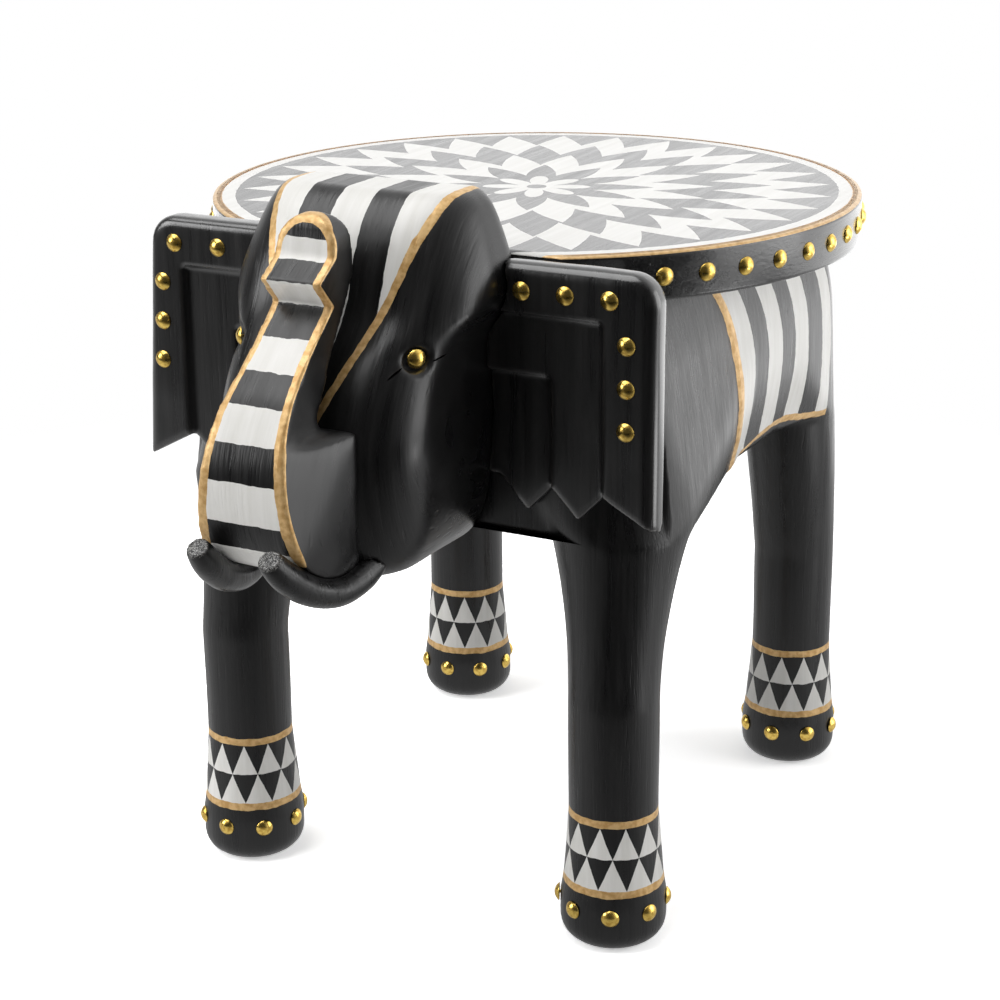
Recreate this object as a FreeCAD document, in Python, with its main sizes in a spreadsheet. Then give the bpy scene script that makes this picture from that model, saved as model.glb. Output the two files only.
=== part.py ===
import FreeCAD, Part
import math
import os
import Sketcher
from FreeCAD import Placement, Rotation, Vector

# A carved elephant that carries a round top: a pedestal stand or low stool in painted hardwood.
# The elephant faces -Y, +X is its own left side, +Z is up and the floor is at zero.
# Two planes set out the work. The belly plane is level, where the legs meet the body.
# The neck plane is upright, where head, ears and the cut front of the top meet the body.
# Heights called rise start at the belly plane, and lengths called reach run forward from the neck plane.

sizes = {
    # Overall setting out
    "neck_offset": 97,
    "leg_height": 248,
    "body_height": 132.5,
    "glue_gap": 0.15,
    # Legs: turned post, hoof with a rounded sole, and a carved upper end that leans into the body
    "leg_spread": 126,
    "front_leg_setback": 18,
    "leg_pitch": 284,
    "sole_radius": 18,
    "hoof_radius": 31.4,
    "hoof_swell": 14,
    "hoof_wall": 14,
    "hoof_taper": 12,
    "cuff_radius": 29.6,
    "cuff_length": 42,
    "shin_radius": 26.2,
    "shin_length": 68,
    "shoulder_thigh_radius": 31,
    "haunch_thigh_radius": 28.5,
    "thigh_length": 56,
    "thigh_lean_share": 0.5,
    "shoulder_radius": 40.5,
    "shoulder_lean": 5,
    "shoulder_sweep": 18,
    "haunch_radius": 30,
    "haunch_lean": 4,
    "haunch_sweep": 7,
    "tenon_radius": 13,
    "tenon_length": 38,
    # Body: barrel flanks, flat chest on the neck plane, rounded rump
    "belly_overhang": 17,
    "flank_overhang": 25,
    "back_overhang": 12,
    "flank_rise": 60,
    "rump_corner": 44,
    "chest_corner": 24,
    "belly_round": 16,
    "lobe_rise": 62,
    "lobe_radius": 42,
    "shoulder_inset": 18,
    "haunch_inset": 19,
    "flare_rise": 12,
    "shoulder_flare": 10,
    "haunch_flare": 6,
    # Round top with a straight front edge against head and ears
    "seat_radius": 198,
    "seat_setback": 170,
    "seat_thickness": 27,
    "seat_edge_round": 2.5,
    # Head, crown to chin: rise, half width, reach and corner radius of each level
    "crown_rise": 194.5,
    "crown_half_width": 44,
    "crown_reach": 30,
    "crown_corner": 14,
    "crown_edge_drop": 5,
    "crown_edge_half_width": 60,
    "crown_edge_reach": 44,
    "crown_edge_corner": 27,
    "temple_drop": 15,
    "temple_half_width": 66,
    "temple_reach": 54,
    "temple_corner": 36,
    "forehead_rise": 137,
    "forehead_half_width": 75.5,
    "forehead_reach": 73,
    "forehead_corner": 38,
    "brow_rise": 118.5,
    "brow_half_width": 64.5,
    "brow_reach": 88,
    "brow_corner": 36,
    "cheek_top_rise": 98.5,
    "cheek_top_half_width": 62,
    "cheek_top_reach": 102,
    "cheek_top_corner": 34,
    "cheek_rise": 50.5,
    "cheek_half_width": 62,
    "cheek_reach": 114,
    "cheek_corner": 42,
    "jaw_rise": 12.5,
    "jaw_half_width": 55,
    "jaw_reach": 109,
    "jaw_corner": 42,
    "chin_rise": -4.5,
    "chin_half_width": 43,
    "chin_reach": 95,
    "chin_corner": 30,
    "nape_corner": 16,
    "nape_overrun": 7,
    # Eye: almond socket with a nail in it
    "eye_spread": 55.5,
    "eye_reach": 76,
    "eye_rise": 116.5,
    "socket_long": 10.5,
    "socket_tall": 9.5,
    "socket_deep": 8,
    "socket_shift": 4,
    "eye_turn": 37,
    "eye_nail_sink": 1,
    # Trunk, side view: a round bulge, a straight rise, the hooked lip and the rounded tip
    "trunk_bulge": 70,
    "bulge_reach": 162,
    "bulge_rise": 57,
    "trunk_foot_rise": 26,
    "trunk_slope": 48.6,
    "notch_rise": 145,
    "lip_reach": 110.5,
    "lip_rise": 159,
    "lip_top_reach": 94.5,
    "lip_top_rise": 169.5,
    "tip_reach": 92,
    "tip_depth": 16,
    "trunk_depth": 14,
    "trunk_back_rise": 90,
    "trunk_back_reach": 120,
    # Trunk, front view
    "trunk_foot_half_width": 31,
    "trunk_neck_half_width": 18.2,
    "trunk_neck_rise": 122,
    "tip_top_rise": 191,
    # Muzzle, from the crease at the cheeks to the sides of the trunk: level roof, rounded sides
    "muzzle_roof_rise": 84,
    "muzzle_root_reach": 92,
    "muzzle_root_floor_rise": 7,
    "muzzle_root_floor_half_width": 32,
    "muzzle_root_half_width": 39,
    "muzzle_root_roof_half_width": 43,
    "muzzle_mid_reach": 118,
    "muzzle_mid_floor_rise": 5,
    "muzzle_mid_floor_half_width": 32,
    "muzzle_mid_half_width": 35.5,
    "muzzle_mid_roof_half_width": 34,
    "muzzle_front_reach": 146,
    "muzzle_front_floor_rise": 17,
    "muzzle_front_floor_half_width": 30.5,
    "muzzle_front_half_width": 22,
    "muzzle_front_roof_half_width": 12,
    # Tusks: a round bar curling forwards and up, with a sawn end
    "tusk_root_spread": 35,
    "tusk_tip_spread": 22,
    "tusk_root_reach": 91,
    "tusk_tip_reach": 171.5,
    "tusk_low_rise": -1.5,
    "tusk_tip_rise": 31,
    "tusk_root_rise": 7,
    "tusk_root_radius": 8,
    "tusk_mid_radius": 8.6,
    "tusk_tip_radius": 6.2,
    "tusk_low_share": 0.36,
    "tusk_rising_share": 0.72,
    "tusk_rising_lift": 0.34,
    "tusk_root_tilt": 102,
    "tusk_low_tilt": 88,
    "tusk_rising_tilt": 56,
    "tusk_tip_tilt": 36,
    "tusk_peg_radius": 4.5,
    "tusk_peg_length": 22,
    # Ears: thick slabs with stepped pleats and a zigzag hem
    "ear_thickness": 18,
    "ear_inner": 52,
    "ear_outer": 165,
    "left_ear_top_outer": 165.5,
    "right_ear_top_outer": 156,
    "left_ear_top_rise": 158.5,
    "right_ear_top_rise": 163.5,
    "ear_corner": 17,
    "ear_inner_rise": 36,
    "hem_start": 68,
    "hem_tip": 17,
    "hem_notch": 34,
    "pleat_inner": 101,
    "pleat_outer": 134,
    "pleat_step": 4.5,
    "border_drop": 28,
    "inner_pleat_drop": 34,
    "left_ear_edge_round": 7,
    "right_ear_edge_round": 5.5,
    # Tail lying on the rump
    "tail_top_rise": 124,
    "tail_length": 112,
    "tail_half_width": 8,
    "tail_waist_share": 0.5,
    "tail_waist_half_width": 6,
    "tuft_share": 0.8,
    "tuft_half_width": 11,
    "tuft_end_half_width": 5,
    "tail_flatness": 0.85,
    "tail_proud": 4,
    "tuft_tuck": 4,
    # Brass nails
    "nail_head_radius": 5.5,
    "nail_head_height": 3,
    "nail_shank_radius": 1.1,
    "nail_shank_length": 14,
    "rim_nail_count": 38,
    "rim_nail_margin": 9,
    "foot_nail_count": 8,
    "foot_nail_height": 25,
    "foot_nail_turn": 22.5,
    "ear_nail_margin": 15,
    "left_ear_nail_corner": 27,
    "right_ear_nail_corner": 18,
    "left_ear_nail_inset": 17,
    "right_ear_nail_inset": 11,
    "left_ear_nail_row": 26,
    "right_ear_nail_row": 30,
    "ear_nail_column": 23.5,
    "ear_nail_row_count": 3,
    "ear_nail_column_count": 3,
    # Dowels
    "dowel_end_room": 1,
    "dowel_chamfer": 1,
    "neck_dowel_radius": 8,
    "neck_dowel_length": 80,
    "neck_dowel_spread": 28,
    "neck_dowel_rise": 72,
    "ear_dowel_radius": 4,
    "ear_dowel_length": 26,
    "ear_dowel_in_ear": 8,
    "ear_dowel_spread": 112,
    "ear_dowel_rise": 62,
    "ear_dowel_step": 42,
    "seat_dowel_radius": 6,
    "seat_dowel_length": 40,
    "seat_dowel_spread": 82,
    "trunk_dowel_radius": 7,
    "trunk_dowel_length": 52,
    "trunk_dowel_rise": 48,
}


class Size:
    """A dimension, as a number and as the expression over the sheet that gives it."""

    def __init__(self, number, words):
        self.number = number
        self.words = words

    def __add__(self, other):
        other = as_size(other)
        return Size(self.number + other.number, f"({self.words} + {other.words})")

    def __sub__(self, other):
        other = as_size(other)
        return Size(self.number - other.number, f"({self.words} - {other.words})")

    def __mul__(self, other):
        other = as_size(other)
        return Size(self.number * other.number, f"({self.words} * {other.words})")

    def __truediv__(self, other):
        other = as_size(other)
        return Size(self.number / other.number, f"({self.words} / {other.words})")

    def __neg__(self):
        return Size(-self.number, f"(-{self.words})")


def as_size(value):
    return value if isinstance(value, Size) else Size(float(value), repr(float(value)))


def sine(angle):
    return Size(math.sin(math.radians(angle.number)), f"sin({angle.words} * 1deg)")


def cosine(angle):
    return Size(math.cos(math.radians(angle.number)), f"cos({angle.words} * 1deg)")


def root(square):
    return Size(math.sqrt(square.number), f"sqrt({square.words})")


doc = FreeCAD.newDocument("elephant_stand")
sheet = doc.addObject("Spreadsheet::Sheet", "Sizes")
for row, (alias, number) in enumerate(sizes.items(), start=1):
    sheet.set(f"A{row}", alias)
    sheet.set(f"B{row}", str(number))
    sheet.setAlias(f"B{row}", alias)
doc.recompute()

zero = as_size(0)
diagonal = math.sqrt(0.5)
touching = 0.01
quarter_round_steps = 3
upright = Vector(0, 0, 1)
backward = Vector(0, 1, 0)
subparts = {}


def size(alias):
    return Size(float(sheet.get(alias)), f"Sizes.{alias}")


def rise(alias):
    """Height above the floor of a size measured up from the belly plane."""
    return size("leg_height") + size(alias)


def reach(alias):
    """Y of a size measured forward from the neck plane."""
    return neck - size(alias)


def bind(thing, prop, value):
    thing.setExpression(prop, as_size(value).words)


neck = -size("neck_offset")
belly = size("leg_height")
seat_under = belly + size("body_height")
seat_face = seat_under + size("seat_thickness")
seat_centre = neck + size("seat_setback")
front_leg_y = neck + size("front_leg_setback")
rear_leg_y = front_leg_y + size("leg_pitch")


# Sketch helpers


def new_sketch(body, name, role, lift=None):
    sketch = body.newObject("Sketcher::SketchObject", name)
    plane = next(item for item in body.Origin.OriginFeatures if item.Role == role)
    sketch.AttachmentSupport = [(plane, "")]
    sketch.MapMode = "FlatFace"
    if lift is not None:
        bind(sketch, "AttachmentOffset.Base.z", lift)
    return sketch


def constrain(sketch, kind, places, value=None):
    """Add one constraint, bound to its size where it has one."""
    if value is None:
        return sketch.addConstraint(Sketcher.Constraint(kind, *places))
    index = sketch.addConstraint(Sketcher.Constraint(kind, *places, value.number))
    name = f"{kind}_{index}"
    sketch.renameConstraint(index, name)
    bind(sketch, f"Constraints.{name}", value)
    return index


def pin(sketch, geometry, end, across, up):
    """Hold one point of the sketch at two sizes from its origin."""
    constrain(sketch, "DistanceX", (-1, 1, geometry, end), across)
    constrain(sketch, "DistanceY", (-1, 1, geometry, end), up)


def flat(across, up):
    return Vector(across.number, up.number, 0)


def draw_outline(sketch, steps):
    """Close a loop of straight edges (across, up) and arcs ((across, up) through, (across, up) to)."""
    ends = [step[-1] if isinstance(step[0], tuple) else step for step in steps]
    for index, step in enumerate(steps):
        start, end = ends[index - 1], ends[index]
        if isinstance(step[0], tuple):
            through = step[0]
            line = sketch.addGeometry(Part.Arc(flat(*start), flat(*through), flat(*end)), False)
            mark = sketch.addGeometry(Part.Point(flat(*through)), True)
            pin(sketch, mark, 1, *through)
            constrain(sketch, "PointOnObject", (mark, 1, line))
            if turns_right(start, through, end):
                start, end = end, start
        else:
            line = sketch.addGeometry(Part.LineSegment(flat(*start), flat(*end)), False)
        pin(sketch, line, 1, *start)
        pin(sketch, line, 2, *end)
    return sketch


def turns_right(start, through, end):
    """Whether an arc runs clockwise: a sketch counts every arc's ends anticlockwise."""
    first = flat(*through) - flat(*start)
    second = flat(*end) - flat(*through)
    return first.cross(second).z < 0


def draw_rounded_box(sketch, low, high, near_corner, far_corner=None):
    """A box from low (across, up) to high, with the corners at its far edge rounded otherwise."""
    far_corner = far_corner or near_corner
    corners = [
        (low[0], low[1], near_corner, 1, 1),
        (high[0], low[1], near_corner, -1, 1),
        (high[0], high[1], far_corner, -1, -1),
        (low[0], high[1], far_corner, 1, -1),
    ]
    steps = []
    for index, (across, up, radius, inward_x, inward_y) in enumerate(corners):
        level_end = (across + radius * inward_x, up)
        upright_end = (across, up + radius * inward_y)
        entry, leave = (upright_end, level_end) if index % 2 == 0 else (level_end, upright_end)
        bend = radius * (1 - diagonal)
        steps.append(entry)
        steps.append(((across + bend * inward_x, up + bend * inward_y), leave))
    return draw_outline(sketch, steps)


def draw_circle(sketch, across, up, radius):
    ring = sketch.addGeometry(Part.Circle(flat(across, up), upright, radius.number), False)
    constrain(sketch, "Radius", (ring,), radius)
    pin(sketch, ring, 3, across, up)
    return sketch


def loft(body, name, profiles, ruled=False):
    doc.recompute()
    feature = body.newObject("PartDesign::AdditiveLoft", name)
    feature.Ruled = ruled
    feature.Profile = (profiles[0], [""])
    feature.Sections = [(profile, [""]) for profile in profiles[1:]]
    doc.recompute()
    return feature


def pad(body, name, profile, length, both_ways=False):
    feature = body.newObject("PartDesign::Pad", name)
    feature.Profile = profile
    bind(feature, "Length", length)
    feature.Midplane = both_ways
    doc.recompute()
    return feature


def round_edges(body, name, radius, wanted):
    """Fillet the edges of the body's last feature that a test picks out by their middle point."""
    base = body.Tip
    picked = []
    for number, edge in enumerate(base.Shape.Edges, start=1):
        if wanted(edge.valueAt((edge.FirstParameter + edge.LastParameter) / 2), edge):
            picked.append(f"Edge{number}")
    feature = body.newObject("PartDesign::Fillet", name)
    feature.Base = (base, picked)
    bind(feature, "Radius", radius)
    doc.recompute()
    return feature


# Solids that are taken away from wood, or shared by several pieces


def rod(name, radius, length, base, axis):
    """A round bar from a base point along an axis."""
    bar = doc.addObject("Part::Cylinder", name)
    bind(bar, "Radius", radius)
    bind(bar, "Height", length)
    bar.Placement = Placement(Vector(), Rotation(upright, axis))
    for letter, value in zip("xyz", base):
        bind(bar, f"Placement.Base.{letter}", value)
    return bar


def fuse(name, pieces):
    joined = doc.addObject("Part::MultiFuse", name)
    joined.Shapes = pieces
    return joined


def cut(name, wood, tools):
    """Take tools away from wood."""
    doc.recompute()
    carved = doc.addObject("Part::Cut", name)
    carved.Base = wood
    carved.Tool = tools[0] if len(tools) == 1 else fuse(f"{name}_cutters", tools)
    doc.recompute()
    return carved


def keep(label, thing, solids=1):
    thing.Label = label
    subparts[label] = (thing, solids)
    return thing


def group(label, shapes):
    """Several equal loose pieces in one node."""
    bundle = doc.addObject("Part::Feature", label)
    bundle.Shape = Part.makeCompound(shapes)
    bundle.Placement = Placement()
    return keep(label, bundle, len(shapes))


# Brass nails


def nail_shape():
    """A domed head on the wood's surface at the origin, with its shank down the -Z axis."""
    head = size("nail_head_radius").number
    height = size("nail_head_height").number
    shank = size("nail_shank_radius").number
    length = size("nail_shank_length").number
    top = Vector(0, 0, height)
    edge = Vector(head, 0, 0)
    sphere = (head * head + height * height) / (2 * height)
    middle_angle = math.asin(head / sphere) / 2
    shoulder = Vector(sphere * math.sin(middle_angle), 0, height - sphere * (1 - math.cos(middle_angle)))
    neck_top = Vector(shank, 0, 0)
    neck_end = Vector(shank, 0, shank - length)
    point = Vector(0, 0, -length)
    wire = Part.Wire([
        Part.Arc(top, shoulder, edge).toShape(),
        Part.LineSegment(edge, neck_top).toShape(),
        Part.LineSegment(neck_top, neck_end).toShape(),
        Part.LineSegment(neck_end, point).toShape(),
        Part.LineSegment(point, top).toShape(),
    ])
    return Part.Face(wire).revolve(Vector(), upright, 360)


def pilot_shape():
    """The hole that a nail leaves: its shank, run out past the surface."""
    shank = size("nail_shank_radius").number
    length = size("nail_shank_length").number
    return Part.makeCylinder(shank, 2 * length, Vector(0, 0, -length))


def drive_nails(label, wood, places):
    """Put one nail at each (point, outward direction) and pierce the wood for it."""
    nails = []
    pilots = []
    for point, outward in places:
        spot = Placement(point, Rotation(upright, outward))
        for shape, pile in ((nail_shape(), nails), (pilot_shape(), pilots)):
            shape.Placement = spot
            pile.append(shape)
    group(label, nails)
    holes = doc.addObject("Part::Feature", f"{label}_holes")
    holes.Shape = Part.makeCompound(pilots)
    return cut(f"{label}_wood", wood, [holes])


def dowel_bar(radius, length, base, axis):
    bar = Part.makeCylinder(radius, length)
    rims = [edge for edge in bar.Edges if edge.Closed]
    bar = bar.makeChamfer(size("dowel_chamfer").number, rims)
    bar.Placement = Placement(base, Rotation(upright, axis))
    return bar


def dowel_group(label, kind, starts, axis):
    """Equal dowels that start at the given points, and the rods that bore their holes."""
    radius = size(f"{kind}_dowel_radius")
    length = size(f"{kind}_dowel_length")
    room = size("dowel_end_room")
    bars = []
    bores = []
    for number, start in enumerate(starts):
        point = Vector(*[value.number for value in start])
        bars.append(dowel_bar(radius.number, length.number, point, axis))
        bore_start = [value - room * step for value, step in zip(start, axis)]
        bore = f"{label}_bore_{number}"
        bores.append(rod(bore, radius + size("glue_gap"), length + room * 2, bore_start, axis))
    group(label, bars)
    return bores


# Legs


def leg_top(joint, side):
    """Section of a leg at the belly plane: radius, and shift towards the middle of the body."""
    along = 1 if joint == "shoulder" else -1
    return size(f"{joint}_radius"), -size(f"{joint}_lean") * side, size(f"{joint}_sweep") * along


def leg_centre(joint, side):
    return size("leg_spread") * side, front_leg_y if joint == "shoulder" else rear_leg_y


def make_leg(label, side, joint, first_nail):
    """A leg with its foot on the floor; its upper end leans towards the middle of the body."""
    body = doc.addObject("PartDesign::Body", f"{label}_wood")
    for letter, value in zip("xy", leg_centre(joint, side)):
        bind(body, f"Placement.Base.{letter}", value)
    hoof_top = size("hoof_swell") + size("hoof_wall") + size("hoof_taper")
    cuff_top = hoof_top + size("cuff_length")
    shin_top = cuff_top + size("shin_length")
    profile = new_sketch(body, f"{label}_profile", "XZ_Plane")
    swell = size("hoof_radius") - size("sole_radius")
    draw_outline(profile, [
        (zero, zero),
        (size("sole_radius"), zero),
        ((size("sole_radius") + swell * diagonal, size("hoof_swell") * (1 - diagonal)),
         (size("hoof_radius"), size("hoof_swell"))),
        (size("hoof_radius"), size("hoof_swell") + size("hoof_wall")),
        (size("cuff_radius"), hoof_top),
        (size("shin_radius"), cuff_top),
        (size("shin_radius"), shin_top),
        (zero, shin_top),
    ])
    doc.recompute()
    post = body.newObject("PartDesign::Revolution", f"{label}_post")
    post.Profile = profile
    post.ReferenceAxis = (profile, ["V_Axis"])
    post.Angle = 360
    doc.recompute()
    top_radius, lean, sweep = leg_top(joint, side)
    share = size("thigh_lean_share")
    thigh_top = shin_top + size("thigh_length")
    levels = [
        (shin_top, zero, zero, size("shin_radius")),
        (thigh_top, lean * share, sweep * share, size(f"{joint}_thigh_radius")),
        (belly, lean, sweep, top_radius),
    ]
    rings = []
    for number, (height, across, along, radius) in enumerate(levels):
        ring = new_sketch(body, f"{label}_ring_{number}", "XY_Plane", height)
        draw_circle(ring, across, along, radius)
        rings.append(ring)
    loft(body, f"{label}_thigh", rings)
    tenon = new_sketch(body, f"{label}_tenon_ring", "XY_Plane", belly)
    draw_circle(tenon, zero, zero, size("tenon_radius"))
    pad(body, f"{label}_tenon", tenon, size("tenon_length"))
    centre = Vector(body.Placement.Base.x, body.Placement.Base.y, size("foot_nail_height").number)
    places = []
    for number in range(int(size("foot_nail_count").number)):
        turn = math.radians(first_nail.number + 360 * number / size("foot_nail_count").number)
        outward = Vector(math.cos(turn), math.sin(turn), 0)
        places.append((centre + outward * size("hoof_radius").number, outward))
    keep(label, drive_nails(label.replace("leg", "foot_nails"), body, places))


# Body


def barrel_outline(body, name, level, height, inset):
    """A level outline of the torso round the legs, drawn in at flanks and rump but not at the flat chest."""
    overhang = size(f"{level}_overhang") - inset
    half = size("leg_spread") + overhang
    outline = new_sketch(body, name, "XY_Plane", height)
    return draw_rounded_box(outline, (-half, neck), (half, rear_leg_y + overhang),
                            size("chest_corner") - inset, size("rump_corner") - inset)


def make_barrel():
    """The torso between the legs: barrel flanks above a belly whose lower edge is a quarter round."""
    body = doc.addObject("PartDesign::Body", "barrel")
    edge = size("belly_round")
    levels = [
        ("belly", belly + edge),
        ("flank", belly + size("flank_rise")),
        ("back", seat_under),
    ]
    loft(body, "flanks", [barrel_outline(body, f"{level}_outline", level, height, zero)
                          for level, height in levels])
    quarter = []
    for number in range(quarter_round_steps + 1):
        turn = math.radians(90 * number / quarter_round_steps)
        height = belly + edge * (1 - math.sin(turn))
        inset = edge * (1 - math.cos(turn))
        quarter.append(barrel_outline(body, f"belly_edge_{number}", "belly", height, inset))
    loft(body, "belly_edge", quarter, True)
    return body


def make_lobe(name, side, joint):
    """A shoulder or haunch: carries the leg on up into the barrel, arched out under the belly."""
    low_radius, lean, sweep = leg_top(joint, side)
    centre_x, centre_y = leg_centre(joint, side)
    inset = size(f"{joint}_inset")
    flare = size(f"{joint}_flare")
    along = 1 if joint == "shoulder" else -1
    levels = [
        (belly, lean, sweep, low_radius),
        (belly + size("flare_rise"), lean - flare * side, sweep + flare * along, low_radius + flare),
        (belly + size("lobe_rise"), inset * -side, inset * along, size("lobe_radius")),
    ]
    rings = []
    for number, (height, across, along, radius) in enumerate(levels):
        ring = doc.addObject("Part::Circle", f"{name}_ring_{number}")
        bind(ring, "Radius", radius)
        bind(ring, "Placement.Base.x", centre_x + across)
        bind(ring, "Placement.Base.y", centre_y + along)
        bind(ring, "Placement.Base.z", height)
        rings.append(ring)
    lobe = doc.addObject("Part::Loft", name)
    lobe.Sections = rings
    lobe.Solid = True
    return lobe


def make_body(bores):
    lobes = []
    mortises = []
    for side, hand in ((1, "left"), (-1, "right")):
        for joint in ("shoulder", "haunch"):
            lobes.append(make_lobe(f"{hand}_{joint}", side, joint))
            mouth = (*leg_centre(joint, side), belly)
            mortises.append(rod(f"{hand}_{joint}_mortise", size("tenon_radius") + size("glue_gap"),
                                size("tenon_length") + size("dowel_end_room"), mouth, upright))
    torso = fuse("torso", [make_barrel()] + lobes)
    doc.recompute()
    return keep("body_block", cut("body_block", torso, mortises + bores))


# Round top


def make_seat(bores):
    body = doc.addObject("PartDesign::Body", "seat_wood")
    outline = new_sketch(body, "seat_outline", "XY_Plane", seat_under)
    radius = size("seat_radius")
    half_chord = root(radius * radius - size("seat_setback") * size("seat_setback"))
    draw_outline(outline, [
        (half_chord, neck),
        ((zero, seat_centre + radius), (-half_chord, neck)),
    ])
    doc.recompute()
    pad(body, "seat_disc", outline, size("seat_thickness"))

    def on_top_rim(middle, edge):
        return abs(middle.z - seat_face.number) < touching

    round_edges(body, "seat_edge", size("seat_edge_round"), on_top_rim)
    bored = cut("seat_bored", body, bores)
    count = int(size("rim_nail_count").number)
    open_angle = math.degrees(math.acos(size("seat_setback").number / radius.number))
    first = -90 + open_angle + size("rim_nail_margin").number
    step = (180 - 2 * first) / (count - 1)
    centre = Vector(0, seat_centre.number, (seat_under + size("seat_thickness") / 2).number)
    places = []
    for number in range(count):
        turn = math.radians(first + step * number)
        outward = Vector(math.cos(turn), math.sin(turn), 0)
        places.append((centre + outward * radius.number, outward))
    keep("seat_top", drive_nails("seat_edge_nails", bored, places))


# Head


def head_section(body, name, height, half, front, corner):
    """A rounded outline that runs back past the neck plane, where its rounded nape is sawn off later."""
    outline = new_sketch(body, f"{name}_outline", "XY_Plane", height)
    back = neck + size("nape_overrun")
    return draw_rounded_box(outline, (-half, front), (half, back), corner, size("nape_corner"))


def make_head_wood():
    """The whole head as one loft, from the rounded crown by brow and cheeks to the chin."""
    body = doc.addObject("PartDesign::Body", "head_wood")
    crown = rise("crown_rise")
    heights = {"crown": crown}
    for level in ("crown_edge", "temple"):
        heights[level] = crown - size(f"{level}_drop")
    for level in ("forehead", "brow", "cheek_top", "cheek", "jaw", "chin"):
        heights[level] = rise(f"{level}_rise")
    sections = []
    for level, height in heights.items():
        sections.append(head_section(body, level, height, size(f"{level}_half_width"),
                                     reach(f"{level}_reach"), size(f"{level}_corner")))
    loft(body, "head_mass", sections)
    return body


def eye_place(side):
    """Middle of the eye on the face, and the direction that it looks in."""
    turn = math.radians(size("eye_turn").number)
    outward = Vector(side * math.cos(turn), -math.sin(turn), 0)
    point = Vector(size("eye_spread").number * side, reach("eye_reach").number, rise("eye_rise").number)
    return point, outward


def make_socket(hand, side):
    socket = doc.addObject("Part::Ellipsoid", f"{hand}_socket")
    bind(socket, "Radius1", size("socket_tall"))
    bind(socket, "Radius2", size("socket_long"))
    bind(socket, "Radius3", size("socket_deep"))
    point, outward = eye_place(side)
    spin = Rotation(Vector(side * -outward.y, side * outward.x, 0), upright, outward, "ZXY")
    socket.Placement = Placement(point + outward * size("socket_shift").number, spin)
    return socket


def make_head(bores):
    wood = make_head_wood()
    doc.recompute()
    saw = doc.addObject("Part::Box", "neck_saw")
    wider = size("forehead_half_width") + size("temple_half_width")
    bind(saw, "Length", wider * 2)
    bind(saw, "Width", size("forehead_half_width"))
    bind(saw, "Height", rise("crown_rise") + size("forehead_half_width"))
    bind(saw, "Placement.Base.x", -wider)
    bind(saw, "Placement.Base.y", neck)
    sockets = [make_socket("left", 1), make_socket("right", -1)]
    carved = cut("head_carved", wood, [saw] + sockets + bores)
    for hand, side in (("left", 1), ("right", -1)):
        point, outward = eye_place(side)
        seat = point - outward * size("eye_nail_sink").number
        carved = drive_nails(f"{hand}_eye_nail", carved, [(seat, outward)])
    return keep("head_block", carved)


# Trunk


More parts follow.
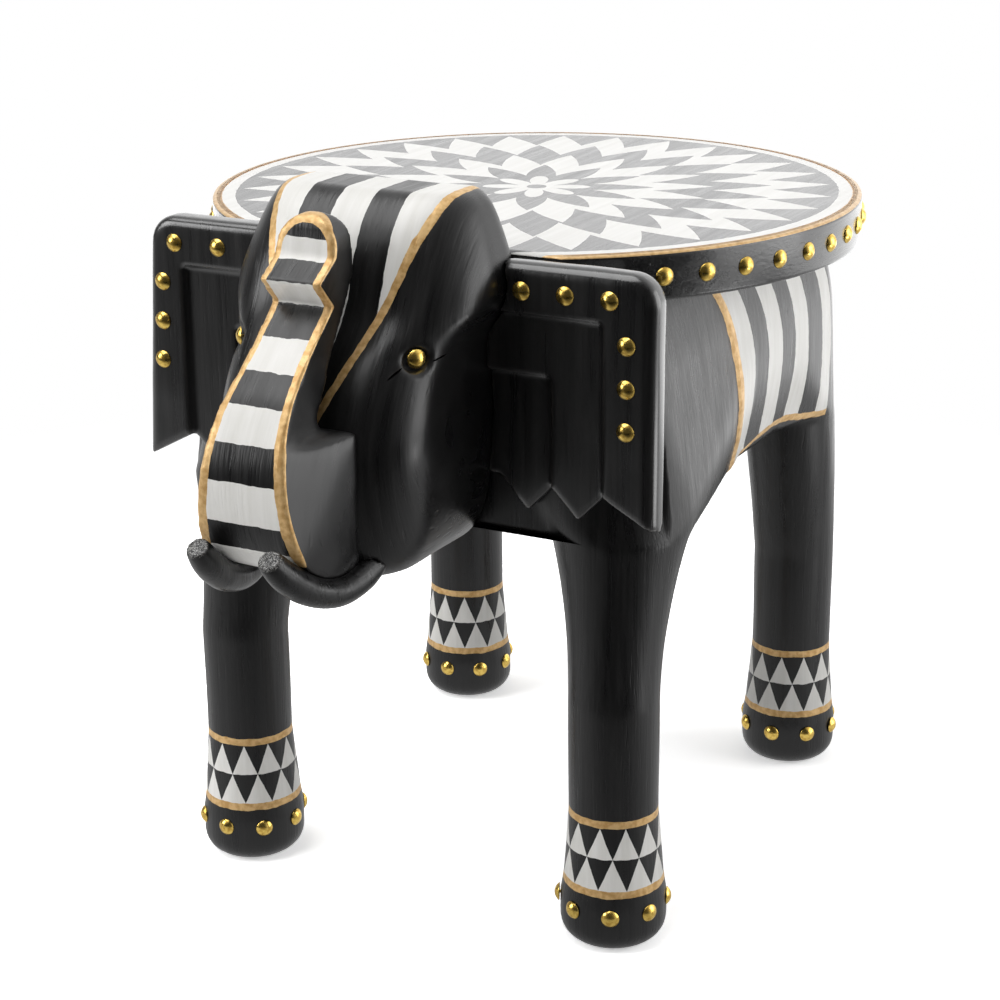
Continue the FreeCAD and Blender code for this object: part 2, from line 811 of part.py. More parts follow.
def make_trunk(head, bores):
    body = doc.addObject("PartDesign::Body", "trunk_wood")
    side_view = new_sketch(body, "trunk_side_view", "YZ_Plane")
    bulge = size("trunk_bulge")
    bulge_y = reach("bulge_reach") + bulge
    bulge_z = rise("bulge_rise")
    slope = size("trunk_slope")
    foot_z = rise("trunk_foot_rise")
    foot_drop = bulge_z - foot_z
    foot_y = bulge_y - root(bulge * bulge - foot_drop * foot_drop)
    bend = (bulge_y - bulge * cosine(slope), bulge_z + bulge * sine(slope))
    run = rise("notch_rise") - bend[1]
    notch = (bend[0] + run * sine(slope) / cosine(slope), rise("notch_rise"))
    tip_front = reach("tip_reach")
    tip_back = tip_front + size("tip_depth")
    tip_spring = rise("tip_top_rise") - size("tip_depth") / 2
    thin = size("trunk_depth")
    back_notch = (notch[0] + thin, rise("notch_rise"))
    back_foot = (reach("trunk_back_reach"), rise("trunk_back_rise"))
    throat = (back_foot[0] + size("tip_depth") / 2, rise("muzzle_roof_rise") - size("tip_depth") / 2)
    root_back = reach("muzzle_root_reach")
    draw_outline(side_view, [
        (foot_y, foot_z),
        ((reach("bulge_reach"), bulge_z), bend),
        notch,
        (reach("lip_reach"), rise("lip_rise")),
        (reach("lip_top_reach"), rise("lip_top_rise")),
        (tip_front, tip_spring),
        ((tip_front + size("tip_depth") / 2, rise("tip_top_rise")), (tip_back, tip_spring)),
        (tip_back, rise("lip_rise")),
        back_notch,
        back_foot,
        throat,
        (root_back, rise("muzzle_roof_rise") - size("tip_depth") / 2),
        (root_back, foot_z),
    ])
    doc.recompute()
    wide = size("trunk_foot_half_width")
    narrow = size("trunk_neck_half_width")
    pad(body, "trunk_blank", side_view, wide * 2, True)
    front_view = new_sketch(body, "trunk_front_view", "XZ_Plane")
    margin = wide
    arch_spring = rise("tip_top_rise") - narrow
    draw_outline(front_view, [
        (-wide * 2, foot_z - margin),
        (wide * 2, foot_z - margin),
        (wide * 2, rise("tip_top_rise") + margin),
        (-wide * 2, rise("tip_top_rise") + margin),
    ])
    draw_outline(front_view, [
        (-wide, foot_z),
        (wide, foot_z),
        (narrow, rise("trunk_neck_rise")),
        (narrow, arch_spring),
        ((zero, rise("tip_top_rise")), (-narrow, arch_spring)),
        (-narrow, rise("trunk_neck_rise")),
    ])
    doc.recompute()
    trim = body.newObject("PartDesign::Pocket", "trunk_trim")
    trim.Profile = front_view
    trim.Type = "ThroughAll"
    trim.Midplane = True
    doc.recompute()
    outlines = []
    roof = rise("muzzle_roof_rise")
    for name in ("root", "mid", "front"):
        outline = new_sketch(body, f"muzzle_{name}", "XZ_Plane", -reach(f"muzzle_{name}_reach"))
        floor = rise(f"muzzle_{name}_floor_rise")
        low = size(f"muzzle_{name}_floor_half_width")
        middle = size(f"muzzle_{name}_half_width")
        high = size(f"muzzle_{name}_roof_half_width")
        half_way = (floor + roof) / 2
        draw_outline(outline, [
            (low, floor),
            ((middle, half_way), (high, roof)),
            (-high, roof),
            ((-middle, half_way), (-low, floor)),
        ])
        outlines.append(outline)
    loft(body, "muzzle", outlines)
    return keep("trunk", cut("trunk", body, [head] + bores))


# Tusks


def make_tusk(hand, side, head, trunk):
    """A bent round bar out of the jaw, forwards and up past the foot of the trunk, pegged at its root."""
    root_y = reach("tusk_root_reach")
    span = reach("tusk_tip_reach") - root_y
    low_z = rise("tusk_low_rise")
    tip_z = rise("tusk_tip_rise")
    spread = size("tusk_root_spread") - size("tusk_tip_spread")
    rising_z = low_z + (tip_z - low_z) * size("tusk_rising_lift")
    stations = [
        (zero, rise("tusk_root_rise"), size("tusk_root_radius"), size("tusk_root_tilt")),
        (size("tusk_low_share"), low_z, size("tusk_mid_radius"), size("tusk_low_tilt")),
        (size("tusk_rising_share"), rising_z, size("tusk_mid_radius"), size("tusk_rising_tilt")),
        (as_size(1), tip_z, size("tusk_tip_radius"), size("tusk_tip_tilt")),
    ]
    rings = []
    for number, (share, height, radius, tilt) in enumerate(stations):
        ring = doc.addObject("Part::Circle", f"{hand}_tusk_ring_{number}")
        bind(ring, "Radius", radius)
        ring.Placement = Placement(Vector(), Rotation(Vector(1, 0, 0), tilt.number))
        bind(ring, "Placement.Base.x", (size("tusk_root_spread") - spread * share) * side)
        bind(ring, "Placement.Base.y", root_y + span * share)
        bind(ring, "Placement.Base.z", height)
        rings.append(ring)
    bar = doc.addObject("Part::Loft", f"{hand}_tusk_bar")
    bar.Sections = rings
    bar.Solid = True
    scribed = cut(f"{hand}_tusk_scribed", bar, [head, trunk])
    peg = tusk_peg(f"{hand}_tusk_peg", side, zero)
    return keep(f"{hand}_tusk", fuse(f"{hand}_tusk_whole", [scribed, peg]))


def tusk_peg(name, side, room):
    """The round peg at a tusk's root, or its socket where there is room round it."""
    front = (size("tusk_root_spread") * side, reach("tusk_root_reach") - size("tusk_root_radius"),
             rise("tusk_root_rise"))
    return rod(name, size("tusk_peg_radius") + room, size("tusk_peg_length") + room, front, backward)


# Ears


def make_ear(hand, side, neighbours, bores):
    """A thick slab on the neck plane, stepped back pleat by pleat towards the head."""
    body = doc.addObject("PartDesign::Body", f"{hand}_ear_wood")
    top = rise(f"{hand}_ear_top_rise")
    outer = size("ear_outer")
    outer_top = size(f"{hand}_ear_top_outer")
    corner = size("ear_corner")
    inner_pleat = size("pleat_inner")
    outer_pleat = size("pleat_outer")
    tip = rise("hem_tip")
    notch = rise("hem_notch")
    bend = corner * (1 - diagonal)

    def at(across, up):
        return across * side, up

    outline = new_sketch(body, f"{hand}_ear_outline", "XZ_Plane", -neck)
    draw_outline(outline, [
        at(size("ear_inner"), top),
        at(size("ear_inner"), rise("ear_inner_rise")),
        at(size("hem_start"), rise("ear_inner_rise")),
        at((size("hem_start") + inner_pleat) / 2, tip),
        at(inner_pleat, notch),
        at((inner_pleat + outer_pleat) / 2, tip),
        at(outer_pleat, notch),
        at(outer, tip),
        at(outer_top, top - corner),
        (at(outer_top - bend, top - bend), at(outer_top - corner, top)),
    ])
    doc.recompute()
    pad(body, f"{hand}_ear_slab", outline, size("ear_thickness"))
    front = -neck + size("ear_thickness")
    border = top - size("border_drop")
    steps = [
        ("pleats", outer_pleat, border, size("pleat_step")),
        ("inner_pleat", inner_pleat, border - size("inner_pleat_drop"), size("pleat_step") * 2),
    ]
    for name, edge, upper, depth in steps:
        recess = new_sketch(body, f"{hand}_{name}_outline", "XZ_Plane", front)
        draw_outline(recess, [at(zero, belly), at(edge, belly), at(edge, upper), at(zero, upper)])
        doc.recompute()
        pocket = body.newObject("PartDesign::Pocket", f"{hand}_{name}")
        pocket.Profile = recess
        bind(pocket, "Length", depth)
        doc.recompute()

    def on_outer_edge(middle, edge):
        across = abs(middle.x)
        on_side = abs(across - ((outer + outer_top) / 2).number) < touching
        on_corner = across > (outer_top - corner).number and middle.z > (top - corner).number
        on_top = abs(middle.z - top.number) < touching
        runs_level = abs(edge.tangentAt(edge.FirstParameter).y) < touching
        return runs_level and (on_side or on_corner or on_top)

    round_edges(body, f"{hand}_ear_rounding", size(f"{hand}_ear_edge_round"), on_outer_edge)
    scribed = cut(f"{hand}_ear_scribed", body, neighbours + bores)
    face = reach("ear_thickness")
    places = []
    for number in range(int(size("ear_nail_row_count").number)):
        across = outer_top - size(f"{hand}_ear_nail_corner") - size(f"{hand}_ear_nail_row") * number
        places.append((across * side, top - size("ear_nail_margin")))
    for number in range(int(size("ear_nail_column_count").number)):
        up = top - size("ear_nail_margin") - size("ear_nail_column") * (number + 1)
        edge = outer_top + (outer - outer_top) * (top - up) / (top - tip)
        places.append(((edge - size(f"{hand}_ear_nail_inset")) * side, up))
    spots = [(Vector(across.number, face.number, up.number), Vector(0, -1, 0)) for across, up in places]
    return keep(f"{hand}_ear", drive_nails(f"{hand}_ear_nails", scribed, spots))


# Tail


def make_tail(body_block):
    """A half-round tail with a tuft, lying on the rump down the middle of the back."""
    top = rise("tail_top_rise")
    length = size("tail_length")
    rump = rear_leg_y + size("flank_overhang") + size("tail_proud")
    tuck = size("tuft_tuck")
    stations = [
        (zero, rear_leg_y + size("back_overhang") + size("tail_proud"), size("tail_half_width")),
        (size("tail_waist_share"), rump, size("tail_waist_half_width")),
        (size("tuft_share"), rump - tuck / 2, size("tuft_half_width")),
        (as_size(1), rump - tuck * 2, size("tuft_end_half_width")),
    ]
    rings = []
    for number, (share, centre, half) in enumerate(stations):
        ring = doc.addObject("Part::Ellipse", f"tail_ring_{number}")
        bind(ring, "MajorRadius", half)
        bind(ring, "MinorRadius", half * size("tail_flatness"))
        bind(ring, "Placement.Base.y", centre)
        bind(ring, "Placement.Base.z", top - length * share)
        rings.append(ring)
    bar = doc.addObject("Part::Loft", "tail_bar")
    bar.Sections = rings
    bar.Solid = True
    return keep("tail", cut("tail_scribed", bar, [body_block]))


# Dowels


def bore_all():
    """Place every dowel and give the rods that bore its two holes, by joint."""
    neck_side = size("neck_dowel_spread")
    neck_front = neck - size("neck_dowel_length") / 2
    neck_starts = [(neck_side * side, neck_front, rise("neck_dowel_rise")) for side in (1, -1)]
    level = rise("ear_dowel_rise")
    ear_heights = [level, level + size("ear_dowel_step")]
    seat_side = size("seat_dowel_spread")
    seat_low = seat_under - size("seat_dowel_length") / 2
    seat_starts = [(seat_side * x, seat_centre + seat_side * y, seat_low) for x in (1, -1) for y in (1, -1)]
    trunk_start = (zero, reach("cheek_reach") - size("trunk_dowel_length") / 2, rise("trunk_dowel_rise"))
    bores = {
        "neck": dowel_group("neck_dowels", "neck", neck_starts, backward),
        "seat": dowel_group("seat_dowels", "seat", seat_starts, upright),
        "trunk": dowel_group("trunk_dowel", "trunk", [trunk_start], backward),
    }
    for hand, side in (("left", 1), ("right", -1)):
        starts = [(size("ear_dowel_spread") * side, reach("ear_dowel_in_ear"), up) for up in ear_heights]
        bores[f"{hand}_ear"] = dowel_group(f"{hand}_ear_dowels", "ear", starts, backward)
    return bores


def finish():
    """Stop on any failed object or shape, then write one file for each sub-part."""
    doc.recompute()
    for thing in doc.Objects:
        if {"Invalid", "Error"} & set(thing.State):
            raise RuntimeError(f"{thing.Name} failed: {thing.getStatusString()}")
    for label, (thing, solids) in subparts.items():
        shape = thing.Shape
        if shape.isNull() or not shape.isValid() or len(shape.Solids) != solids:
            raise RuntimeError(f"{label} has a bad shape with {len(shape.Solids)} solids")
    os.makedirs("parts", exist_ok=True)
    for label, (thing, solids) in subparts.items():
        thing.Shape.exportStep(f"parts/{label}.step")
        print(label, solids, "solids,", round(thing.Shape.Volume / 1000, 1), "cubic centimetres")


bores = bore_all()
make_leg("front_left_leg", 1, "shoulder", size("foot_nail_turn"))
make_leg("front_right_leg", -1, "shoulder", zero)
make_leg("rear_left_leg", 1, "haunch", zero)
make_leg("rear_right_leg", -1, "haunch", zero)
body_block = make_body(bores["neck"] + bores["seat"] + bores["left_ear"] + bores["right_ear"])
make_seat(bores["seat"])
tusk_sockets = [tusk_peg(f"{hand}_tusk_socket", side, size("glue_gap"))
                for hand, side in (("left", 1), ("right", -1))]
head_block = make_head(bores["neck"] + bores["trunk"] + tusk_sockets)
trunk = make_trunk(head_block, bores["trunk"] + tusk_sockets)
for hand, side in (("left", 1), ("right", -1)):
    make_tusk(hand, side, head_block, trunk)
    make_ear(hand, side, [head_block, body_block], bores[f"{hand}_ear"])
make_tail(body_block)
finish()
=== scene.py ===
import bpy
import math
from mathutils import Matrix, Vector


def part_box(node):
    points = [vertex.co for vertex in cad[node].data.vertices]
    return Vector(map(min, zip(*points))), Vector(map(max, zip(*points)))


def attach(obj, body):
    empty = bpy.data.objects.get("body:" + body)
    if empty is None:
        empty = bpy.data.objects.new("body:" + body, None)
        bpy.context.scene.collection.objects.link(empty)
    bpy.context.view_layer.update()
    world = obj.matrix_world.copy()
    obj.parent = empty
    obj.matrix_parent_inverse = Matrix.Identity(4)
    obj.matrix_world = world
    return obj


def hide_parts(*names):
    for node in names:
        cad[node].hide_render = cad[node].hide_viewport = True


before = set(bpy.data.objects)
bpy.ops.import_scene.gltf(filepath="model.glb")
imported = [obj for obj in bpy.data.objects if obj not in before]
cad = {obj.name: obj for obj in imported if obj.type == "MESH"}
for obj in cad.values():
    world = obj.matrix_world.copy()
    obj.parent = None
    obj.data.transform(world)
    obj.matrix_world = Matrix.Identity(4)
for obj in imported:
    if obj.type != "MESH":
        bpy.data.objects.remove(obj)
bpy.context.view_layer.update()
scene = bpy.context.scene
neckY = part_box("seat_top")[0].y  # plane where head and ears meet the body
print("frame loaded:", len(cad), "nodes")


# selecting and finishing

finishing = {"smoothAngle": 55, "mergeDistance": 0.00001, "sandStroke": 0.5, "levelNormal": 0.99}


def clearSelection():
    if bpy.context.mode != "OBJECT":
        bpy.ops.object.mode_set(mode="OBJECT")
    bpy.ops.object.select_all(action="DESELECT")


def makeActive(piece):
    clearSelection()
    piece.select_set(True)
    bpy.context.view_layer.objects.active = piece


def applyModifier(piece, kind, **settings):
    makeActive(piece)
    modifier = piece.modifiers.new(kind.lower(), kind)
    for key, value in settings.items():
        setattr(modifier, key, value)
    bpy.ops.object.modifier_apply(modifier=modifier.name)


def settle(piece):  # place goes into the mesh
    makeActive(piece)
    bpy.ops.object.transform_apply(location=True, rotation=True, scale=True)


def editAll(piece, operator, **settings):  # one operator on the whole mesh
    makeActive(piece)
    bpy.ops.object.mode_set(mode="EDIT")
    bpy.ops.mesh.select_all(action="SELECT")
    operator(**settings)
    bpy.ops.object.mode_set(mode="OBJECT")


def pickFaces(piece, test):  # selects faces by their middle and normal, ready for edit mode
    makeActive(piece)
    bpy.ops.object.mode_set(mode="EDIT")
    bpy.ops.mesh.select_mode(type="FACE")
    bpy.ops.mesh.select_all(action="DESELECT")
    bpy.ops.object.mode_set(mode="OBJECT")
    for face in piece.data.polygons:
        face.select = test(face.center, face.normal)
    bpy.ops.object.mode_set(mode="EDIT")


def joinPieces(pieces, name):
    clearSelection()
    for piece in pieces:
        piece.select_set(True)
    bpy.context.view_layer.objects.active = pieces[0]
    bpy.ops.object.join()
    pieces[0].name = name
    pieces[0].data.name = name
    return pieces[0]


def copyPiece(piece, name):
    twin = bpy.data.objects.new(name, piece.data.copy())
    twin.data.name = name
    scene.collection.objects.link(twin)
    return twin


def finishPiece(piece, nodeNames, material):
    makeActive(piece)
    bpy.ops.object.shade_smooth_by_angle(angle=math.radians(finishing["smoothAngle"]))
    piece.data.materials.clear()
    piece.data.materials.append(material)
    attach(piece, "root")
    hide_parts(*nodeNames)
    clearSelection()


def carve(piece, cutters):  # takes the cutters away from the wood
    for cutter in cutters:
        applyModifier(piece, "BOOLEAN", object=cutter, operation="DIFFERENCE", solver="EXACT")
        bpy.data.objects.remove(cutter)


def cutAway(piece, place, outward):  # saws the piece at a plane and keeps what lies behind it
    editAll(piece, bpy.ops.mesh.bisect, plane_co=place, plane_no=outward, use_fill=True,
            clear_outer=True)


def fillHollow(whole, low, high):  # a hull over what lies between two corners fills its hollows
    fill = copyPiece(whole, "hollowFill")
    for axis in range(3):
        outward = Vector((0, 0, 0))
        outward[axis] = 1
        cutAway(fill, high, outward)
        cutAway(fill, low, -outward)
    editAll(fill, bpy.ops.mesh.convex_hull)
    return fill


def roughOut(nodeName, pieceName):  # a merged copy of the solid, ready to carve
    piece = copyPiece(cad[nodeName], pieceName)
    editAll(piece, bpy.ops.mesh.remove_doubles, threshold=finishing["mergeDistance"])
    return piece


def handFinish(piece, settings):  # softens edges as sandpaper and paint do
    applyModifier(piece, "REMESH", mode="VOXEL", voxel_size=settings["voxel"], use_smooth_shade=True)
    applyModifier(piece, "SMOOTH", factor=finishing["sandStroke"], iterations=settings["sanding"])
    unevenness = bpy.data.textures.new(piece.name + "Unevenness", "CLOUDS")
    unevenness.noise_scale = settings["unevenSize"]
    unevenness.noise_depth = 1
    applyModifier(piece, "DISPLACE", texture=unevenness, texture_coords="LOCAL", mid_level=0.5,
                  strength=settings["unevenDepth"])


def storeOnPoints(piece, name, measure):  # a measure of each point, for the paint to read
    layer = piece.data.attributes.new(name, "FLOAT", "POINT")
    layer.data.foreach_set("value", [measure(point.co) for point in piece.data.vertices])


def shareOf(value, start, end):  # 0 at the start, 1 at the end
    return max(0.0, min(1.0, (value - start) / (end - start)))


def alongTable(table, value):  # straight runs between the table's pairs
    for (low, first), (high, second) in zip(table, table[1:]):
        if value <= high:
            share = max(0.0, (value - low) / (high - low))
            return first + (second - first) * share
    return table[-1][1]


# shader helpers

def newMaterial(name):
    material = bpy.data.materials.new(name)
    material.use_nodes = True
    material.node_tree.nodes.clear()
    return material, material.node_tree


def feed(tree, source, socket):
    if isinstance(source, bpy.types.NodeSocket):
        tree.links.new(source, socket)
    else:
        socket.default_value = source


def calc(tree, operation, *terms):
    node = tree.nodes.new("ShaderNodeMath")
    node.operation = operation
    for socket, term in zip(node.inputs, terms):
        feed(tree, term, socket)
    return node.outputs[0]


def within(tree, value, low, high):  # 1 inside a band, 0 outside
    above = calc(tree, "GREATER_THAN", value, low)
    below = calc(tree, "LESS_THAN", value, high)
    return calc(tree, "MULTIPLY", above, below)


def bandsOf(tree, value, edges):  # 1 inside any of the bands
    total = within(tree, value, *edges[0])
    for low, high in edges[1:]:
        total = calc(tree, "ADD", total, within(tree, value, low, high))
    return total


def invert(tree, value):
    return calc(tree, "SUBTRACT", 1.0, value)


def remap(tree, value, low, high, newLow, newHigh):
    node = tree.nodes.new("ShaderNodeMapRange")
    feed(tree, value, node.inputs["Value"])
    for key, number in (("From Min", low), ("From Max", high), ("To Min", newLow), ("To Max", newHigh)):
        node.inputs[key].default_value = number
    return node.outputs["Result"]


def mixColour(tree, share, first, second):  # sockets 6, 7 and 2 are the ones for colours
    node = tree.nodes.new("ShaderNodeMix")
    node.data_type = "RGBA"
    feed(tree, share, node.inputs["Factor"])
    feed(tree, first, node.inputs[6])
    feed(tree, second, node.inputs[7])
    return node.outputs[2]


def mixNumber(tree, share, first, second):
    node = tree.nodes.new("ShaderNodeMix")
    feed(tree, share, node.inputs[0])
    feed(tree, first, node.inputs[2])
    feed(tree, second, node.inputs[3])
    return node.outputs[0]


def noiseOf(tree, vector, scale, detail=3.0, roughness=0.55):
    node = tree.nodes.new("ShaderNodeTexNoise")
    feed(tree, vector, node.inputs["Vector"])
    feed(tree, scale, node.inputs["Scale"])
    node.inputs["Detail"].default_value = detail
    node.inputs["Roughness"].default_value = roughness
    return node.outputs["Fac"]


def stretched(tree, vector, scale, turn=(0, 0, 0)):
    node = tree.nodes.new("ShaderNodeMapping")
    feed(tree, vector, node.inputs["Vector"])
    node.inputs["Scale"].default_value = scale
    node.inputs["Rotation"].default_value = turn
    return node.outputs["Vector"]


def readAttribute(tree, name):
    node = tree.nodes.new("ShaderNodeAttribute")
    node.attribute_name = name
    return node.outputs["Fac"]


def splitAxes(tree, vector):
    node = tree.nodes.new("ShaderNodeSeparateXYZ")
    feed(tree, vector, node.inputs[0])
    return node.outputs[0], node.outputs[1], node.outputs[2]


def newGroup(name, inputs, outputs):
    group = bpy.data.node_groups.new(name, "ShaderNodeTree")
    for label, kind in inputs:
        group.interface.new_socket(label, in_out="INPUT", socket_type=kind)
    for label, kind in outputs:
        group.interface.new_socket(label, in_out="OUTPUT", socket_type=kind)
    return group, group.nodes.new("NodeGroupInput"), group.nodes.new("NodeGroupOutput")


def placeGroup(tree, group, **values):
    node = tree.nodes.new("ShaderNodeGroup")
    node.node_tree = group
    for label, value in values.items():
        feed(tree, value, node.inputs[label])
    return node.outputs


def raised(tree, height, strength, distance):
    bump = tree.nodes.new("ShaderNodeBump")
    bump.inputs["Strength"].default_value = strength
    bump.inputs["Distance"].default_value = distance
    feed(tree, height, bump.inputs["Height"])
    return bump.outputs["Normal"]


def showSurface(tree, inputs):
    shader = tree.nodes.new("ShaderNodeBsdfPrincipled")
    for label, value in inputs.items():
        feed(tree, value, shader.inputs[label])
    output = tree.nodes.new("ShaderNodeOutputMaterial")
    tree.links.new(shader.outputs["BSDF"], output.inputs["Surface"])


def objectPlace(tree):
    return tree.nodes.new("ShaderNodeTexCoord").outputs["Object"]


# paints and metals

vectorKind = "NodeSocketVector"
floatKind = "NodeSocketFloat"
brushing = {
    "broadStretch": (1.0, 1.0, 0.045), "broadNoise": (4.0, 0.62), "contrast": (0.35, 0.68),
    "fineStretch": (1.0, 1.0, 0.02), "fineTimes": 4.0, "fineShare": 0.55,
}


def makeBrushMarks():  # streaks of the paint brush, along the piece's own grain
    group, given, result = newGroup("brushMarks", [("Vector", vectorKind), ("Fineness", floatKind)],
                                    [("Streak", floatKind), ("Ridges", floatKind)])
    lengthwise = stretched(group, given.outputs["Vector"], brushing["broadStretch"])
    broad = noiseOf(group, lengthwise, given.outputs["Fineness"], *brushing["broadNoise"])
    fineScale = calc(group, "MULTIPLY", given.outputs["Fineness"], brushing["fineTimes"])
    hairs = stretched(group, given.outputs["Vector"], brushing["fineStretch"])
    fine = noiseOf(group, hairs, fineScale, detail=2.0)
    feed(group, remap(group, broad, *brushing["contrast"], 0.0, 1.0), result.inputs["Streak"])
    both = calc(group, "MULTIPLY_ADD", fine, brushing["fineShare"], broad)
    feed(group, both, result.inputs["Ridges"])
    return group


rubbing = {"corner": (0.515, 0.58), "patchScale": 55.0, "patches": (0.38, 0.62), "least": 0.15}


def makeEdgeWear():  # where corners stick out, paint is rubbed thin in patches
    group, given, result = newGroup("edgeWear", [("Vector", vectorKind), ("Reach", floatKind)],
                                    [("Wear", floatKind)])
    geometry = group.nodes.new("ShaderNodeNewGeometry")
    corner = remap(group, geometry.outputs["Pointiness"], *rubbing["corner"], 0.0, 1.0)
    patches = noiseOf(group, given.outputs["Vector"], rubbing["patchScale"], detail=4.0)
    patches = remap(group, patches, *rubbing["patches"], rubbing["least"], 1.0)
    rubbed = calc(group, "MULTIPLY", corner, patches)
    feed(group, calc(group, "MULTIPLY", rubbed, given.outputs["Reach"]), result.inputs["Wear"])
    return group


openGrain = {
    "stretch": (1.0, 1.0, 0.06), "dotScale": 900.0, "dots": (0.62, 0.72),
    "zoneScale": 22.0, "zones": (0.42, 0.6),
}


def makePores():  # open wood grain that shows through the paint
    group, given, result = newGroup("grainPores", [("Vector", vectorKind)], [("Pore", floatKind)])
    fibres = stretched(group, given.outputs["Vector"], openGrain["stretch"])
    dots = noiseOf(group, fibres, openGrain["dotScale"], detail=1.0)
    dots = remap(group, dots, *openGrain["dots"], 0.0, 1.0)
    zones = noiseOf(group, given.outputs["Vector"], openGrain["zoneScale"], detail=2.0)
    zones = remap(group, zones, *openGrain["zones"], 0.0, 1.0)
    feed(group, calc(group, "MULTIPLY", dots, zones), result.inputs["Pore"])
    return group


brushMarks = makeBrushMarks()
edgeWear = makeEdgeWear()
grainPores = makePores()

paints = {
    "black": (0.0045, 0.0044, 0.0047, 1), "blackStreak": (0.011, 0.0107, 0.0108, 1),
    "white": (0.78, 0.77, 0.745, 1), "whiteStreak": (0.69, 0.68, 0.645, 1), "whiteRough": 0.36,
    "gold": (0.75, 0.50, 0.225, 1), "goldDark": (0.55, 0.32, 0.11, 1), "goldRough": 0.4,
    "goldMetal": 0.35, "blotchScale": 260.0, "blotches": (0.36, 0.6), "rubbed": (0.07, 0.062, 0.055, 1),
    "fineness": 150.0, "roughRange": (-0.05, 0.1), "handScale": 130.0, "handWander": 0.0018,
    "poreDepth": 0.6, "bump": (0.3, 0.0008), "coatRough": 0.18,
}


def paintedWood(name, drawPattern=None, turn=(0, 0, 0), roughness=0.3, wearReach=0.5, coat=0.0,
                grain=(1, 1, 1)):
    material, tree = newMaterial(name)
    position = objectPlace(tree)
    lengthwise = stretched(tree, position, grain, turn)
    marks = placeGroup(tree, brushMarks, Vector=lengthwise, Fineness=paints["fineness"])
    pores = placeGroup(tree, grainPores, Vector=lengthwise)["Pore"]
    wear = placeGroup(tree, edgeWear, Vector=position, Reach=wearReach)["Wear"]
    colour = mixColour(tree, marks["Streak"], paints["black"], paints["blackStreak"])
    smoother, rougher = paints["roughRange"]
    rough = remap(tree, marks["Streak"], 0.0, 1.0, roughness + smoother, roughness + rougher)
    metal = 0.0
    if drawPattern:
        wander = noiseOf(tree, position, paints["handScale"], detail=2.0)  # the hand isn't quite steady
        offset = calc(tree, "MULTIPLY", calc(tree, "SUBTRACT", wander, 0.5), paints["handWander"])
        white, gold = drawPattern(tree, position, offset)
        whiteTone = mixColour(tree, marks["Streak"], paints["whiteStreak"], paints["white"])
        colour = mixColour(tree, white, colour, whiteTone)
        rough = mixNumber(tree, white, rough, paints["whiteRough"])
        blotch = noiseOf(tree, position, paints["blotchScale"])
        blotch = remap(tree, blotch, *paints["blotches"], 0.0, 1.0)
        goldTone = mixColour(tree, blotch, paints["goldDark"], paints["gold"])
        colour = mixColour(tree, gold, colour, goldTone)
        rough = mixNumber(tree, gold, rough, paints["goldRough"])
        metal = calc(tree, "MULTIPLY", gold, paints["goldMetal"])
        wear = calc(tree, "MULTIPLY", wear, invert(tree, gold))
    colour = mixColour(tree, wear, colour, paints["rubbed"])
    height = calc(tree, "SUBTRACT", marks["Ridges"], calc(tree, "MULTIPLY", pores, paints["poreDepth"]))
    showSurface(tree, {
        "Base Color": colour, "Roughness": rough, "Metallic": metal,
        "Normal": raised(tree, height, *paints["bump"]),
        "Coat Weight": coat, "Coat Roughness": paints["coatRough"],
    })
    return material


brassTones = {
    "bright": (0.95, 0.67, 0.17, 1), "tarnished": (0.62, 0.39, 0.08, 1), "tarnishScale": 420.0,
    "tarnish": (0.42, 0.66), "rough": (0.2, 0.38), "dentScale": 600.0, "bump": (0.12, 0.0004),
}


def polishedBrass(name):
    material, tree = newMaterial(name)
    position = objectPlace(tree)
    tarnish = noiseOf(tree, position, brassTones["tarnishScale"])
    tarnish = remap(tree, tarnish, *brassTones["tarnish"], 0.0, 1.0)
    dents = noiseOf(tree, position, brassTones["dentScale"], detail=2.0)
    showSurface(tree, {
        "Base Color": mixColour(tree, tarnish, brassTones["bright"], brassTones["tarnished"]),
        "Roughness": remap(tree, tarnish, 0.0, 1.0, *brassTones["rough"]), "Metallic": 1.0,
        "Normal": raised(tree, dents, *brassTones["bump"]),
    })
    return material


dowelTones = {
    "pale": (0.52, 0.36, 0.2, 1), "dark": (0.36, 0.22, 0.11, 1), "fineness": 260.0, "rough": (0.5, 0.7),
}


def bareWood(name):
    material, tree = newMaterial(name)
    lengthwise = stretched(tree, objectPlace(tree), (1, 1, 1), (math.pi / 2, 0, 0))
    streak = placeGroup(tree, brushMarks, Vector=lengthwise, Fineness=dowelTones["fineness"])["Streak"]
    showSurface(tree, {
        "Base Color": mixColour(tree, streak, dowelTones["pale"], dowelTones["dark"]),
        "Roughness": remap(tree, streak, 0.0, 1.0, *dowelTones["rough"]),
    })
    return material


plainBlack = paintedWood("plainBlackPaint")
brass = polishedBrass("polishedBrass")
dowelWood = bareWood("dowelWood")
for nodeName, node in cad.items():  # hidden dowels keep their solids
    if "dowel" in nodeName:
        node.data.materials.clear()
        node.data.materials.append(dowelWood)
print("paints mixed")


# camera and studio

camera = {
    "place": (0.6395, -1.1785, 0.6807), "azimuth": 28.06, "elevation": 18.73, "roll": -0.572,
    "lens": 83.1, "sensor": 36, "farthest": 30,
}


